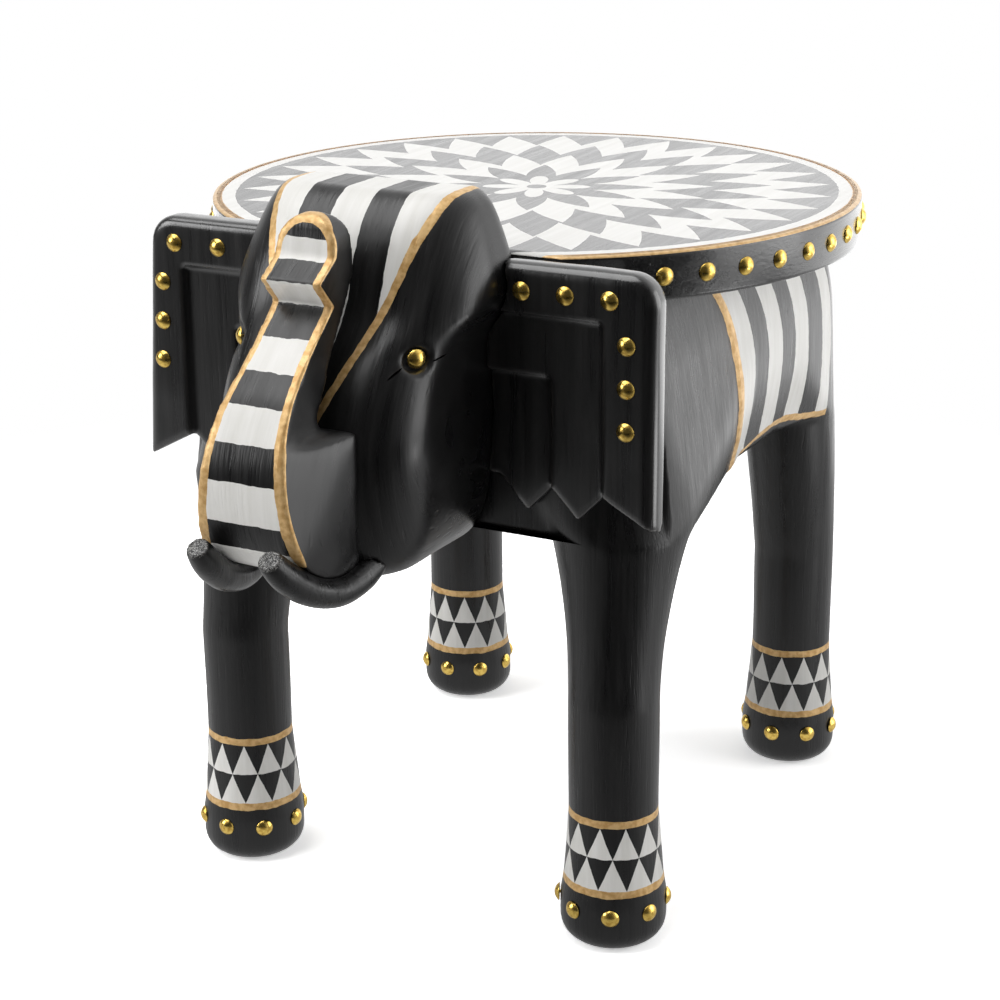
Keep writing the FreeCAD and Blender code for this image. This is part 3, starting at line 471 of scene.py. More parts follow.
def placeCamera():
    azimuth, elevation, roll = (math.radians(camera[key]) for key in ("azimuth", "elevation", "roll"))
    forward = Vector((-math.sin(azimuth) * math.cos(elevation), math.cos(azimuth) * math.cos(elevation),
                      -math.sin(elevation)))
    level = Vector((math.cos(azimuth), math.sin(azimuth), 0))
    right = level * math.cos(roll) + level.cross(forward) * math.sin(roll)
    up = right.cross(forward)
    data = bpy.data.cameras.new("photoCamera")
    data.lens = camera["lens"]
    data.sensor_width = camera["sensor"]
    data.clip_end = camera["farthest"]
    eye = bpy.data.objects.new("photoCamera", data)
    scene.collection.objects.link(eye)
    turn = Matrix((right, up, -forward)).transposed().to_4x4()
    eye.matrix_world = Matrix.Translation(camera["place"]) @ turn
    scene.camera = eye


studio = {
    "floorSize": 6.0, "floorTone": 0.9, "seenTone": 1.8, "seenGlow": 0.4, "fade": (0.42, 1.0),
    "ambient": 0.36, "mirrorDim": 0.05, "mirrorBright": 1.5, "floorMirror": 0.7, "frontTurn": 32,
    "frontSpread": 0.6, "frontEdge": (0.55, -0.1), "frontReach": (-0.6, -1.0, 0.15),
    "rearGlow": (0.75, 0.92, 1.4), "cardPlace": (1.06, 0.1), "cardGlow": (0.31, 0.16, 4.4),
    "softEdge": (-0.75, 0.45), "softLeast": 0.5, "roomTurn": 0.3, "roomEdge": (-0.3, 0.9),
    "lampAim": (0, 0, 0.25),
    "lamps": [  # name, place, size, watts
        ("leftSoftbox", (-1.5, -1.3, 1.0), 1.0, 17),
        ("topSoftbox", (-0.5, -0.45, 2.0), 1.5, 26),
        ("rightSoftbox", (1.45, 0.45, 0.6), 1.1, 9),
    ],
}


def distanceOf(tree, across, along):
    squares = calc(tree, "MULTIPLY_ADD", across, across, calc(tree, "MULTIPLY", along, along))
    return calc(tree, "SQRT", squares)


def mirroredRays(tree, path):
    return calc(tree, "MAXIMUM", path.outputs["Is Glossy Ray"], path.outputs["Is Transmission Ray"])


def floorInMirror(tree, across, along):  # the paper as gloss paint mirrors it, dark towards the front
    turn = math.radians(studio["frontTurn"])
    ahead = calc(tree, "SUBTRACT", calc(tree, "MULTIPLY", across, math.sin(turn)),
                 calc(tree, "MULTIPLY", along, math.cos(turn)))
    aside = calc(tree, "ADD", calc(tree, "MULTIPLY", across, math.cos(turn)),
                 calc(tree, "MULTIPLY", along, math.sin(turn)))
    spread = calc(tree, "MULTIPLY", calc(tree, "ABSOLUTE", aside), studio["frontSpread"])
    front = calc(tree, "SUBTRACT", ahead, spread)
    level = remap(tree, front, *studio["frontEdge"], studio["mirrorDim"], studio["floorMirror"])
    near, far, rest = studio["frontReach"]
    level = calc(tree, "MULTIPLY", level, remap(tree, along, near, far, 1.0, rest))
    near, far, glow = studio["rearGlow"]
    level = calc(tree, "ADD", level, remap(tree, along, near, far, 0.0, glow))
    cardAcross, cardAlong = studio["cardPlace"]  # a white card lies on the right
    away = distanceOf(tree, calc(tree, "SUBTRACT", across, cardAcross),
                      calc(tree, "SUBTRACT", along, cardAlong))
    edge, middle, glow = studio["cardGlow"]
    return calc(tree, "ADD", level, remap(tree, away, edge, middle, 0.0, glow))


def paleFloor():  # white paper that fades out into the white room, and keeps the shadow
    material, tree = newMaterial("paleFloor")
    path = tree.nodes.new("ShaderNodeLightPath")
    seen = path.outputs["Is Camera Ray"]
    mirrored = mirroredRays(tree, path)
    across, along = splitAxes(tree, objectPlace(tree))[:2]
    paper = tree.nodes.new("ShaderNodeBsdfDiffuse")
    tone = mixNumber(tree, seen, studio["floorTone"], studio["seenTone"])
    feed(tree, calc(tree, "MULTIPLY", tone, invert(tree, mirrored)), paper.inputs["Color"])
    glow = tree.nodes.new("ShaderNodeEmission")
    level = calc(tree, "MULTIPLY", mirrored, floorInMirror(tree, across, along))
    feed(tree, calc(tree, "MULTIPLY_ADD", seen, studio["seenGlow"], level), glow.inputs["Strength"])
    lit = tree.nodes.new("ShaderNodeAddShader")
    tree.links.new(paper.outputs[0], lit.inputs[0])
    tree.links.new(glow.outputs[0], lit.inputs[1])
    away = remap(tree, distanceOf(tree, across, along), *studio["fade"], 0.0, 1.0)
    clear = tree.nodes.new("ShaderNodeBsdfTransparent")
    faded = tree.nodes.new("ShaderNodeMixShader")
    feed(tree, calc(tree, "MULTIPLY", away, seen), faded.inputs["Fac"])
    tree.links.new(lit.outputs[0], faded.inputs[1])
    tree.links.new(clear.outputs[0], faded.inputs[2])
    output = tree.nodes.new("ShaderNodeOutputMaterial")
    tree.links.new(faded.outputs[0], output.inputs["Surface"])
    return material


def whiteRoom():
    world = bpy.data.worlds.new("whiteRoom")
    scene.world = world
    world.use_nodes = True
    tree = world.node_tree
    tree.nodes.clear()
    path = tree.nodes.new("ShaderNodeLightPath")
    direction = tree.nodes.new("ShaderNodeTexCoord").outputs["Generated"]
    across, along = splitAxes(tree, direction)[:2]
    soft = remap(tree, along, *studio["softEdge"], studio["softLeast"], 1.0)
    soft = calc(tree, "MULTIPLY", soft, studio["ambient"])
    rearRight = calc(tree, "MULTIPLY_ADD", across, studio["roomTurn"], along)
    room = remap(tree, rearRight, *studio["roomEdge"], studio["mirrorDim"], studio["mirrorBright"])
    level = mixNumber(tree, mirroredRays(tree, path), soft, room)  # gloss sees a room dark at the front
    level = mixNumber(tree, path.outputs["Is Camera Ray"], level, 1.0)
    background = tree.nodes.new("ShaderNodeBackground")
    background.inputs["Color"].default_value = (1, 1, 1, 1)
    feed(tree, level, background.inputs["Strength"])
    output = tree.nodes.new("ShaderNodeOutputWorld")
    tree.links.new(background.outputs[0], output.inputs["Surface"])


def lightStudio():
    clearSelection()
    bpy.ops.mesh.primitive_plane_add(size=studio["floorSize"], location=(0, 0, 0))
    floor = bpy.context.object
    floor.name = "studioFloor"
    settle(floor)
    floor.data.materials.append(paleFloor())
    for name, place, size, watts in studio["lamps"]:
        data = bpy.data.lights.new(name, "AREA")
        data.size = size
        data.energy = watts
        lamp = bpy.data.objects.new(name, data)
        scene.collection.objects.link(lamp)
        lamp.location = place
        aim = Vector(studio["lampAim"]) - Vector(place)
        lamp.rotation_euler = aim.to_track_quat("-Z", "Y").to_euler()
    whiteRoom()
    scene.view_settings.view_transform = "Standard"


placeCamera()
lightStudio()
print("camera and studio set")


# body and legs, smoothed as one carving and then parted at the belly

torso = {
    "voxel": 0.0022, "sanding": 6, "unevenSize": 0.08, "unevenDepth": 0.0013, "bellyZ": 0.248,
    "blanketFront": 0.0275, "blanketBack": 0.1905, "goldWidth": 0.007, "middleZ": 0.308,
    "lean": -0.06, "bow": -50.0,
    "hem": [(0.03, 0.250), (0.06, 0.255), (0.09, 0.2592), (0.113, 0.2605),
            (0.135, 0.259), (0.16, 0.254), (0.18, 0.2505), (0.21, 0.2495)],
    "hemGold": 0.005, "raised": 0.0016, "raisedEdge": 0.003, "raisedFrom": 0.1,
    "whiteBands": [(0.007, 0.0295), (0.0525, 0.0755), (0.0965, 0.1185), (0.1435, 0.163)],
    "sweep": 0.017, "sweepY": (0.11, 0.16),
    "fills": [  # corners of the hollows beside the legs on the left
        ((0.125, 0.13, 0.2515), (0.3, 0.3, 0.34)),
        ((0.115, -0.075, 0.244), (0.3, 0.061, 0.335)),
    ],
}
leg = {
    "spread": 0.126, "middleY": 0.063, "halfPitch": 0.142,
    "goldLow": (0.037, 0.0415), "goldHigh": (0.0795, 0.084), "rowHeight": 0.019, "teeth": 11,
}
legNames = ("front_left_leg", "front_right_leg", "rear_left_leg", "rear_right_leg")
blanketLength = torso["blanketBack"] - torso["blanketFront"]


def blanketBow(z):  # the painted edges bow with the barrel of the flank
    up = z - torso["middleZ"]
    return torso["lean"] * up + torso["bow"] * up ** 3


def alongBlanket(point):  # metres back from the front edge of the blanket
    low = max(0.0, torso["middleZ"] - point.z) / (torso["middleZ"] - torso["bellyZ"])
    back = shareOf(point.y, *torso["sweepY"])  # over the haunch the stripes sweep forwards
    return point.y - blanketBow(point.z) - torso["blanketFront"] + torso["sweep"] * back * low ** 2


def aboveHem(point):
    return point.z - alongTable(torso["hem"], point.y)


def drawBlanket(tree, position, offset):
    along = calc(tree, "ADD", readAttribute(tree, "alongBlanket"), offset)
    above = calc(tree, "ADD", readAttribute(tree, "aboveHem"), offset)
    onCloth = within(tree, along, 0.0, blanketLength)
    onCloth = calc(tree, "MULTIPLY", onCloth, calc(tree, "GREATER_THAN", above, 0.0))
    inner = calc(tree, "GREATER_THAN", above, torso["hemGold"])
    white = calc(tree, "MULTIPLY", onCloth, inner)
    white = calc(tree, "MULTIPLY", bandsOf(tree, along, torso["whiteBands"]), white)
    frontGold = calc(tree, "LESS_THAN", along, torso["goldWidth"])
    border = calc(tree, "MAXIMUM", frontGold, invert(tree, inner))
    return white, calc(tree, "MULTIPLY", border, onCloth)


def drawLegBand(tree, position, offset):
    x, y, z = splitAxes(tree, position)
    z = calc(tree, "ADD", z, offset)
    across = calc(tree, "SUBTRACT", calc(tree, "ABSOLUTE", x), leg["spread"])
    along = calc(tree, "SUBTRACT", y, leg["middleY"])
    along = calc(tree, "SUBTRACT", calc(tree, "ABSOLUTE", along), leg["halfPitch"])
    turn = calc(tree, "DIVIDE", calc(tree, "ARCTAN2", along, across), 2 * math.pi)
    step = calc(tree, "DIVIDE", calc(tree, "SUBTRACT", z, leg["goldLow"][1]), leg["rowHeight"])
    row = calc(tree, "FLOOR", step)
    rise = calc(tree, "FRACT", step)
    shifted = calc(tree, "MULTIPLY_ADD", row, 0.5, calc(tree, "MULTIPLY", turn, leg["teeth"]))
    tooth = calc(tree, "ABSOLUTE", calc(tree, "SUBTRACT", calc(tree, "FRACT", shifted), 0.5))
    pale = calc(tree, "GREATER_THAN", calc(tree, "MULTIPLY", tooth, 2.0), rise)
    band = within(tree, z, leg["goldLow"][1], leg["goldHigh"][0])
    white = calc(tree, "MULTIPLY", pale, band)
    gold = calc(tree, "ADD", within(tree, z, *leg["goldLow"]), within(tree, z, *leg["goldHigh"]))
    return white, gold


def keepShading(piece, source):  # the cut shows no seam where the surface runs on
    applyModifier(piece, "DATA_TRANSFER", object=source, use_loop_data=True,
                  data_types_loops={"CUSTOM_NORMAL"}, loop_mapping="POLYINTERP_NEAREST")


def makeTorsoAndLegs():
    parts = [roughOut(name, name + "Rough") for name in ("body_block",) + legNames]
    whole = joinPieces(parts, "torsoAndLegs")
    fills = []
    for low, high in torso["fills"]:
        fills.append(fillHollow(whole, low, high))
        fills.append(fillHollow(whole, (-high[0], *low[1:]), (-low[0], *high[1:])))
    whole = joinPieces([whole] + fills, "torsoAndLegs")
    handFinish(whole, torso)
    uncut = copyPiece(whole, "uncut")
    belly = (0, 0, torso["bellyZ"])
    legPaint = paintedWood("legPaint", drawLegBand)
    for legName in legNames:
        end, hand = legName.split("_")[:2]
        piece = copyPiece(whole, end + hand.title() + "Leg")
        cutAway(piece, belly, (0, 0, 1))
        cutAway(piece, (0, 0, 0), (-1 if hand == "left" else 1, 0, 0))
        cutAway(piece, (0, leg["middleY"], 0), (0, 1 if end == "front" else -1, 0))
        finishPiece(piece, [legName], legPaint)
        keepShading(piece, uncut)
    cutAway(whole, belly, (0, 0, -1))
    whole.name = "torso"
    for point in whole.data.vertices:  # the cloth stands a little proud of the hide
        if abs(point.co.x) > torso["raisedFrom"]:
            along = alongBlanket(point.co)
            edge = min(along, blanketLength - along, aboveHem(point.co))
            share = shareOf(edge, 0.0, torso["raisedEdge"])
            point.co.x += math.copysign(torso["raised"] * share, point.co.x)
    storeOnPoints(whole, "alongBlanket", alongBlanket)
    storeOnPoints(whole, "aboveHem", aboveHem)
    finishPiece(whole, ["body_block"], paintedWood("blanketPaint", drawBlanket))
    keepShading(whole, uncut)
    bpy.data.objects.remove(uncut)


makeTorsoAndLegs()
print("torso and legs carved")


# head

head = {
    "voxel": 0.0016, "sanding": 6, "unevenSize": 0.05, "unevenDepth": 0.0011, "grain": (1, 0.1, 1),
    "border": [(0.33, 0.012), (0.352, 0.022), (0.37, 0.0295), (0.382, 0.034), (0.393, 0.038),
               (0.399, 0.0404), (0.41, 0.0437), (0.421, 0.047), (0.435, 0.052), (0.4425, 0.054)],
    "goldWidth": 0.005, "stripeEdges": (0.0102, 0.030),
    "eye": (0.0555, 0.076, 0.3645), "eyeTurn": 37, "backGap": 0.0008,
    "slits": [(0.0142, -0.0013, 11), (-0.0135, -0.0062, 32)], "slitSize": (0.0054, 0.008, 0.0006),
    "slitSides": 16,
}


def insideBorder(point):
    return alongTable(head["border"], point.z) - abs(point.x)


def drawForehead(tree, position, offset):
    x, y, z = splitAxes(tree, position)
    inside = calc(tree, "ADD", readAttribute(tree, "insideBorder"), offset)
    panel = calc(tree, "GREATER_THAN", inside, 0.0)
    high = calc(tree, "GREATER_THAN", z, head["border"][0][0])
    ahead = calc(tree, "LESS_THAN", y, neckY - head["backGap"])
    panel = calc(tree, "MULTIPLY", panel, calc(tree, "MULTIPLY", high, ahead))
    painted = calc(tree, "MULTIPLY", panel, calc(tree, "GREATER_THAN", inside, head["goldWidth"]))
    across = calc(tree, "ADD", calc(tree, "ABSOLUTE", x), offset)
    near, far = head["stripeEdges"]
    white = invert(tree, within(tree, across, near, far))
    gold = calc(tree, "SUBTRACT", panel, painted)
    return calc(tree, "MULTIPLY", white, painted), gold


def eyeSlits():  # thin cuts at both corners of each eye
    cutters = []
    reach, depth, rise = head["eye"]
    turn = math.radians(head["eyeTurn"])
    for side in (1, -1):
        backwards = Vector((side * math.sin(turn), math.cos(turn), 0))
        for along, up, slope in head["slits"]:
            spot = Vector((reach * side, neckY - depth, rise + up)) + backwards * along
            clearSelection()
            sides = head["slitSides"]
            bpy.ops.mesh.primitive_uv_sphere_add(segments=sides, ring_count=sides // 2, radius=1,
                                                 location=spot, scale=head["slitSize"])
            cutter = bpy.context.object
            cutter.rotation_euler = (0, math.radians(-slope), math.atan2(backwards.y, backwards.x))
            settle(cutter)
            cutters.append(cutter)
    return cutters


def makeHead():
    piece = roughOut("head_block", "head")
    handFinish(piece, head)
    carve(piece, eyeSlits())
    storeOnPoints(piece, "insideBorder", insideBorder)
    material = paintedWood("foreheadPaint", drawForehead, grain=head["grain"])
    finishPiece(piece, ["head_block"], material)


makeHead()
print("head carved")


# trunk

trunk = {
    "voxel": 0.0014, "sanding": 3, "unevenSize": 0.03, "unevenDepth": 0.0008, "grain": (1, 0.1, 1),
    "bulgeCentre": (-0.189, 0.305), "bulgeRadius": 0.070, "slope": 48.6, "notchZ": 0.393,
    "lip": [(0.393, -0.1950), (0.407, -0.2075), (0.4175, -0.1915), (0.431, -0.189), (0.439, -0.181)],
    "halfWidth": [(0.262, 0.0325), (0.274, 0.031), (0.370, 0.0182), (0.4208, 0.0182)], "archZ": 0.4208,
    "whiteBands": [(0.250, 0.276), (0.2909, 0.3132), (0.3326, 0.350), (0.3643, 0.3786), (0.393, 0.407),
                   (0.416, 0.427)],
    "goldLow": 0.0062, "goldHigh": 0.0042, "goldZ": (0.29, 0.36), "wrap": 0.0022, "underZ": 0.276,
    "wearReach": 0.35,
    "muzzle": ((-0.06, -0.28, 0.252), (0.06, -0.2, 0.331)),
    "roundFrom": (0.003, 0.011), "roundBelow": (0.352, 0.336), "roundAbove": (0.259, 0.272),
    "rounding": 70,
}


def trunkFront(z):  # y of the front outline at a height
    centreY, centreZ = trunk["bulgeCentre"]
    slope = math.radians(trunk["slope"])
    bendZ = centreZ + trunk["bulgeRadius"] * math.sin(slope)
    if z < bendZ:
        return centreY - math.sqrt(max(0.0, trunk["bulgeRadius"] ** 2 - (z - centreZ) ** 2))
    if z < trunk["notchZ"]:
        return centreY - trunk["bulgeRadius"] * math.cos(slope) + (z - bendZ) * math.tan(slope)
    return alongTable(trunk["lip"], z)


def trunkEdge(point):  # metres in from the side edges of the trunk's face
    if point.z > trunk["archZ"]:
        return trunk["halfWidth"][-1][1] - math.hypot(point.x, point.z - trunk["archZ"])
    return alongTable(trunk["halfWidth"], point.z) - abs(point.x)


def trunkDepth(point):
    return point.y - trunkFront(point.z)


def drawTrunk(tree, position, offset):
    z = splitAxes(tree, position)[2]
    front = calc(tree, "LESS_THAN", readAttribute(tree, "trunkDepth"), trunk["wrap"])
    edge = calc(tree, "ADD", readAttribute(tree, "trunkEdge"), offset)
    width = remap(tree, z, *trunk["goldZ"], trunk["goldLow"], trunk["goldHigh"])
    gold = calc(tree, "MULTIPLY", front, calc(tree, "LESS_THAN", edge, width))
    bands = bandsOf(tree, calc(tree, "ADD", z, offset), trunk["whiteBands"])
    under = calc(tree, "LESS_THAN", z, trunk["underZ"])
    under = calc(tree, "MULTIPLY", under, calc(tree, "GREATER_THAN", edge, width))
    face = calc(tree, "MAXIMUM", front, under)  # the lowest stripe runs on below the muzzle
    white = calc(tree, "MULTIPLY", calc(tree, "MULTIPLY", face, bands), invert(tree, gold))
    return white, gold


def roundMuzzle(piece):  # sanded rounder behind the painted face, up to the roof of the muzzle
    sides = piece.vertex_groups.new(name="muzzleSides")
    for point in piece.data.vertices:
        weight = shareOf(trunkDepth(point.co), *trunk["roundFrom"])
        weight *= shareOf(point.co.z, *trunk["roundBelow"]) * shareOf(point.co.z, *trunk["roundAbove"])
        sides.add([point.index], weight, "REPLACE")
    applyModifier(piece, "SMOOTH", factor=finishing["sandStroke"], iterations=trunk["rounding"],
                  vertex_group="muzzleSides")


def makeTrunk():
    piece = roughOut("trunk", "trunkCarving")
    cheeks = fillHollow(piece, *trunk["muzzle"])  # the muzzle swells out from the sides of the trunk
    piece = joinPieces([piece, cheeks], "trunkCarving")
    handFinish(piece, trunk)
    roundMuzzle(piece)
    storeOnPoints(piece, "trunkDepth", trunkDepth)
    storeOnPoints(piece, "trunkEdge", trunkEdge)
    material = paintedWood("trunkPaint", drawTrunk, wearReach=trunk["wearReach"], grain=trunk["grain"])
    finishPiece(piece, ["trunk"], material)


makeTrunk()
print("trunk carved")


# tusks, ears and tail

smallCarving = {
    "tusk": {"voxel": 0.0008, "sanding": 5, "unevenSize": 0.02, "unevenDepth": 0.0007,
             "tip": (0.022, -0.2685, 0.279), "tilt": 36, "sawnReach": 0.003, "sawnGrain": 0.0016,
             "sawnDepth": 0.0016, "sawnLevel": 0.62, "fibres": 700.0, "fibreWidth": 0.022,
             "fleckReach": (0.0008, 0.0018), "fleckShare": 0.5},
    "ear": {"voxel": 0.0015, "sanding": 4, "unevenSize": 0.05, "unevenDepth": 0.0009, "coat": 1.0},
    "tail": {"voxel": 0.0012, "sanding": 3, "unevenSize": 0.02, "unevenDepth": 0.0008},
}


def roughenEnd(piece, settings, side):  # the sawn end is left unsanded
    x, y, z = settings["tip"]
    tip = Vector((x * side, y, z))
    tilt = math.radians(settings["tilt"])
    along = Vector((0, -math.sin(tilt), math.cos(tilt)))

    def belowSaw(spot):
        return (tip - spot).dot(along)

    sawn = piece.vertex_groups.new(name="sawnEnd")
    for point in piece.data.vertices:
        sawn.add([point.index], shareOf(belowSaw(point.co), settings["sawnReach"], 0.0), "REPLACE")
    storeOnPoints(piece, "belowSaw", belowSaw)
    chips = bpy.data.textures.new(piece.name + "Chips", "CLOUDS")
    chips.noise_scale = settings["sawnGrain"]
    applyModifier(piece, "DISPLACE", texture=chips, texture_coords="LOCAL", vertex_group="sawnEnd",
                  mid_level=settings["sawnLevel"], strength=settings["sawnDepth"])


def drawSawnEnd(tree, position, offset):  # pale flecks along the torn fibres near the sawn end
    tusk = smallCarving["tusk"]
    fibres = noiseOf(tree, position, tusk["fibres"], detail=2.0, roughness=0.6)
    ridge = calc(tree, "ABSOLUTE", calc(tree, "SUBTRACT", fibres, 0.5))
    torn = calc(tree, "LESS_THAN", ridge, tusk["fibreWidth"])
    atEnd = remap(tree, readAttribute(tree, "belowSaw"), *tusk["fleckReach"], 1.0, 0.0)
    return calc(tree, "MULTIPLY", calc(tree, "MULTIPLY", torn, atEnd), tusk["fleckShare"]), 0.0


carvingPaints = {
    "tusk": paintedWood("tuskPaint", drawSawnEnd),
    "ear": paintedWood("earPaint", coat=smallCarving["ear"]["coat"]),
    "tail": plainBlack,
}
for nodeName, pieceName in (("left_tusk", "leftTusk"), ("right_tusk", "rightTusk"),
                            ("left_ear", "leftEar"), ("right_ear", "rightEar"), ("tail", "tailCarving")):
    kind = nodeName.split("_")[-1]
    piece = roughOut(nodeName, pieceName)
    handFinish(piece, smallCarving[kind])
    if kind == "tusk":
        roughenEnd(piece, smallCarving[kind], 1 if "left" in nodeName else -1)
    finishPiece(piece, [nodeName], carvingPaints[kind])
print("tusks, ears and tail carved")


# round top

seat = {
    "radius": 0.198, "setback": 0.170, "low": 0.3805, "high": 0.4075, "sides": 288,
    "bevel": 0.0025, "bevelSteps": 4, "bevelProfile": 0.6, "inset": 0.004,
    "rings": [(0.036, 12), (0.072, 18), (0.108, 24), (0.144, 30)], "ringWidth": 0.036,
    "toothShift": 0.25, "rosette": 8, "petals": (0.62, 0.3), "eyelet": 0.006,
    "rimWhite": (0.184, 0.192), "gold": 0.192, "paintDepth": 0.0012,
    "grainTurn": (math.pi / 2, 0, 0), "roughness": 0.24, "wearReach": 0.4, "coat": 0.5,
}
seatY = neckY + seat["setback"]


def drawSeat(tree, position, offset):
    x, y, z = splitAxes(tree, position)
    along = calc(tree, "SUBTRACT", y, seatY)
    radius = calc(tree, "ADD", distanceOf(tree, x, along), offset)
    turn = calc(tree, "DIVIDE", calc(tree, "ARCTAN2", along, x), 2 * math.pi)
    white = None
    for number, (inner, teeth) in enumerate(seat["rings"]):  # rings of teeth, point against point
        rise = calc(tree, "DIVIDE", calc(tree, "SUBTRACT", radius, inner), seat["ringWidth"])
        if number % 2:
            rise = invert(tree, rise)
        tooth = calc(tree, "FRACT", calc(tree, "MULTIPLY_ADD", turn, teeth, seat["toothShift"]))
        tooth = calc(tree, "MULTIPLY", calc(tree, "ABSOLUTE", calc(tree, "SUBTRACT", tooth, 0.5)), 2.0)
        pale = calc(tree, "GREATER_THAN", rise, tooth)
        ring = calc(tree, "MULTIPLY", pale, within(tree, radius, inner, inner + seat["ringWidth"]))
        white = ring if white is None else calc(tree, "ADD", white, ring)
    petal = calc(tree, "SINE", calc(tree, "MULTIPLY", turn, math.pi * seat["rosette"]))
    petal = calc(tree, "MULTIPLY_ADD", calc(tree, "ABSOLUTE", petal), *seat["petals"])
    flower = calc(tree, "MULTIPLY", petal, seat["rings"][0][0])
    white = calc(tree, "ADD", white, within(tree, radius, seat["eyelet"], flower))
    white = calc(tree, "ADD", white, within(tree, radius, *seat["rimWhite"]))
    top = calc(tree, "GREATER_THAN", z, seat["high"] - seat["paintDepth"])
    gold = calc(tree, "MULTIPLY", top, calc(tree, "GREATER_THAN", radius, seat["gold"]))
    white = calc(tree, "MULTIPLY", calc(tree, "MULTIPLY", white, top), invert(tree, gold))
    return white, gold


def isLevel(centre, normal):
    return abs(normal.z) > finishing["levelNormal"]


def makeSeat():
    clearSelection()
    height = seat["high"] - seat["low"]
    bpy.ops.mesh.primitive_cylinder_add(vertices=seat["sides"], radius=seat["radius"], depth=height,
                                        location=(0, seatY, seat["low"] + height / 2))
    piece = bpy.context.object
    piece.name = "roundTop"
    settle(piece)
    cutAway(piece, (0, neckY, 0), (0, -1, 0))
    pickFaces(piece, isLevel)
    bpy.ops.mesh.region_to_loop()
    bpy.ops.mesh.bevel(offset=seat["bevel"], segments=seat["bevelSteps"], profile=seat["bevelProfile"])
    bpy.ops.object.mode_set(mode="OBJECT")
    pickFaces(piece, isLevel)
    bpy.ops.mesh.inset(thickness=seat["inset"])
    bpy.ops.object.mode_set(mode="OBJECT")
    material = paintedWood("topPaint", drawSeat, turn=seat["grainTurn"], roughness=seat["roughness"],
                           wearReach=seat["wearReach"], coat=seat["coat"])
    finishPiece(piece, ["seat_top"], material)


makeSeat()
print("round top turned")


# brass nails

nail = {
    "radius": 0.0055, "height": 0.003, "shank": 0.0011, "length": 0.012, "sides": 24, "rings": 28,
    "lip": 0.0003, "insetShare": 0.96,
    "rimCount": 38, "rimMargin": 9, "rimZ": 0.394,
    "footCount": 8, "footZ": 0.025, "footRadius": 0.0314, "turnedFoot": 22.5,
    "earY": 0.018, "earStep": 0.0235, "eyeSink": 0.001,
    "leftRow": (0.1385, 0.1125, 0.0865), "leftRowZ": 0.3915, "leftColumn": (0.1484, 0.1483, 0.1482),
    "rightRow": (0.138, 0.108, 0.078), "rightRowZ": 0.3965, "rightColumn": (0.1474, 0.1488, 0.1502),
}


def makeNail():  # a domed head with a thin edge, on a pointed shank
    clearSelection()
    sphere = (nail["radius"] ** 2 + nail["height"] ** 2) / (2 * nail["height"])
    bpy.ops.mesh.primitive_uv_sphere_add(segments=nail["sides"], ring_count=nail["rings"], radius=sphere,
                                         location=(0, 0, nail["height"] - sphere))
    piece = bpy.context.object
    settle(piece)
    cutAway(piece, (0, 0, nail["lip"]), (0, 0, -1))
    pickFaces(piece, lambda centre, normal: normal.z < -finishing["levelNormal"])
    bpy.ops.mesh.extrude_region_move(TRANSFORM_OT_translate={"value": (0, 0, -nail["lip"])})
    bpy.ops.mesh.inset(thickness=(nail["radius"] - nail["shank"]) * nail["insetShare"])
    bpy.ops.mesh.extrude_region_move(TRANSFORM_OT_translate={"value": (0, 0, -nail["length"])})
    bpy.ops.mesh.merge(type="CENTER")
    bpy.ops.object.mode_set(mode="OBJECT")
    piece.name = "nailPattern"
    return piece


def driveNails(pattern, name, nodeName, places):
    copies = []
    for place, outward in places:
        copy = copyPiece(pattern, name)
        copy.data.transform(outward.to_track_quat("Z", "Y").to_matrix().to_4x4())
        copy.data.transform(Matrix.Translation(place))
        copies.append(copy)
    piece = joinPieces(copies, name) if len(copies) > 1 else copies[0]
    finishPiece(piece, [nodeName], brass)


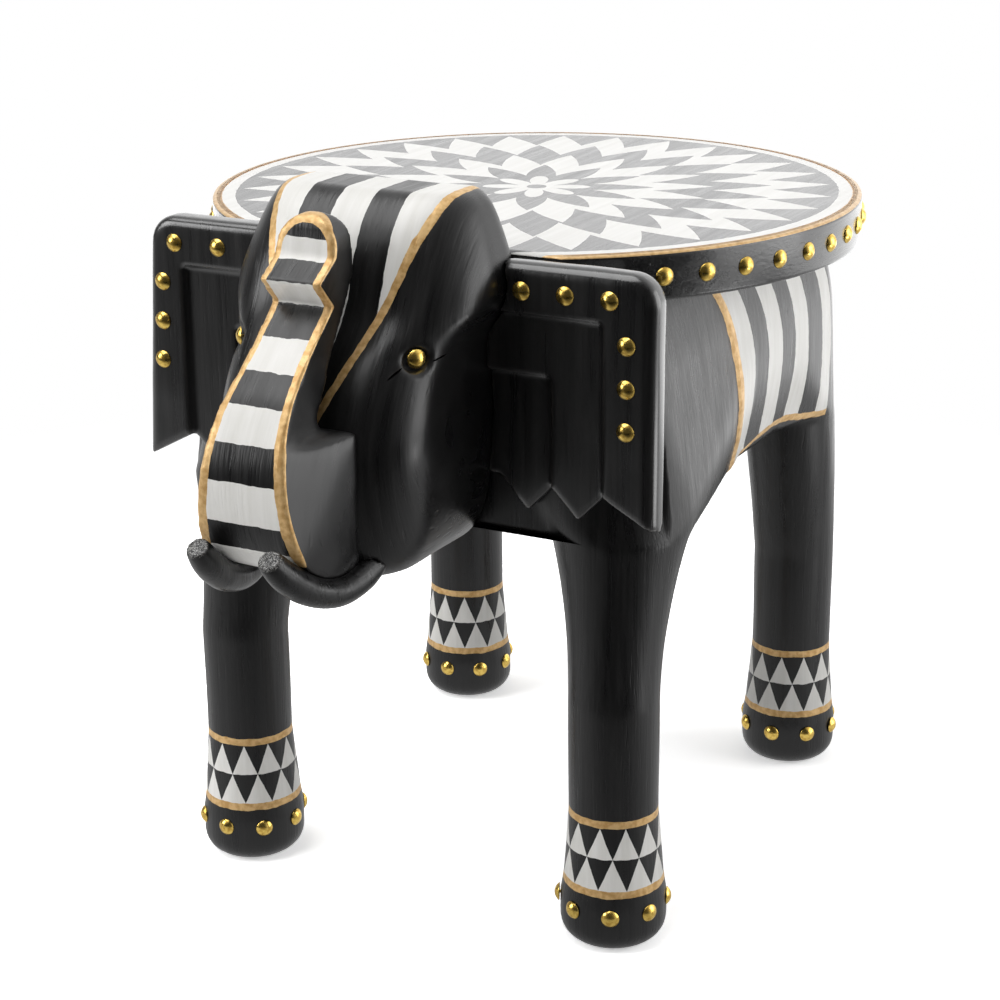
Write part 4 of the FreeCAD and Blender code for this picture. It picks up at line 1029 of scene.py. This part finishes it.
def roundPlaces(centre, radius, turns):
    places = []
    for turn in turns:
        outward = Vector((math.cos(turn), math.sin(turn), 0))
        places.append((Vector(centre) + outward * radius, outward))
    return places


def driveRimNails(pattern):
    half = math.degrees(math.acos(seat["setback"] / seat["radius"]))
    first = -90 + half + nail["rimMargin"]
    step = (180 - 2 * first) / (nail["rimCount"] - 1)
    turns = [math.radians(first + step * number) for number in range(nail["rimCount"])]
    places = roundPlaces((0, seatY, nail["rimZ"]), seat["radius"], turns)
    driveNails(pattern, "seatEdgeNails", "seat_edge_nails", places)


def driveFootNails(pattern, end, y):
    for hand, side in (("left", 1), ("right", -1)):
        start = nail["turnedFoot"] if (end, hand) == ("front", "left") else 0
        step = 360 / nail["footCount"]
        turns = [math.radians(start + step * number) for number in range(nail["footCount"])]
        places = roundPlaces((leg["spread"] * side, y, nail["footZ"]), nail["footRadius"], turns)
        driveNails(pattern, end + hand.title() + "FootNails", f"{end}_{hand}_foot_nails", places)


def driveEarNails(pattern, hand, side):
    top = nail[hand + "RowZ"]
    spots = [(across, top) for across in nail[hand + "Row"]]
    for number, across in enumerate(nail[hand + "Column"], 1):
        spots.append((across, top - nail["earStep"] * number))
    face = neckY - nail["earY"]
    places = [(Vector((across * side, face, z)), Vector((0, -1, 0))) for across, z in spots]
    driveNails(pattern, hand + "EarNails", f"{hand}_ear_nails", places)


def driveEyeNail(pattern, hand, side):
    turn = math.radians(head["eyeTurn"])
    outward = Vector((side * math.cos(turn), -math.sin(turn), 0))
    reach, depth, rise = head["eye"]
    spot = Vector((reach * side, neckY - depth, rise)) - outward * nail["eyeSink"]
    driveNails(pattern, hand + "EyeNail", f"{hand}_eye_nail", [(spot, outward)])


nailPattern = makeNail()
driveRimNails(nailPattern)
driveFootNails(nailPattern, "front", leg["middleY"] - leg["halfPitch"])
driveFootNails(nailPattern, "rear", leg["middleY"] + leg["halfPitch"])
for hand, side in (("left", 1), ("right", -1)):
    driveEarNails(nailPattern, hand, side)
    driveEyeNail(nailPattern, hand, side)
bpy.data.objects.remove(nailPattern)
print("nails driven")
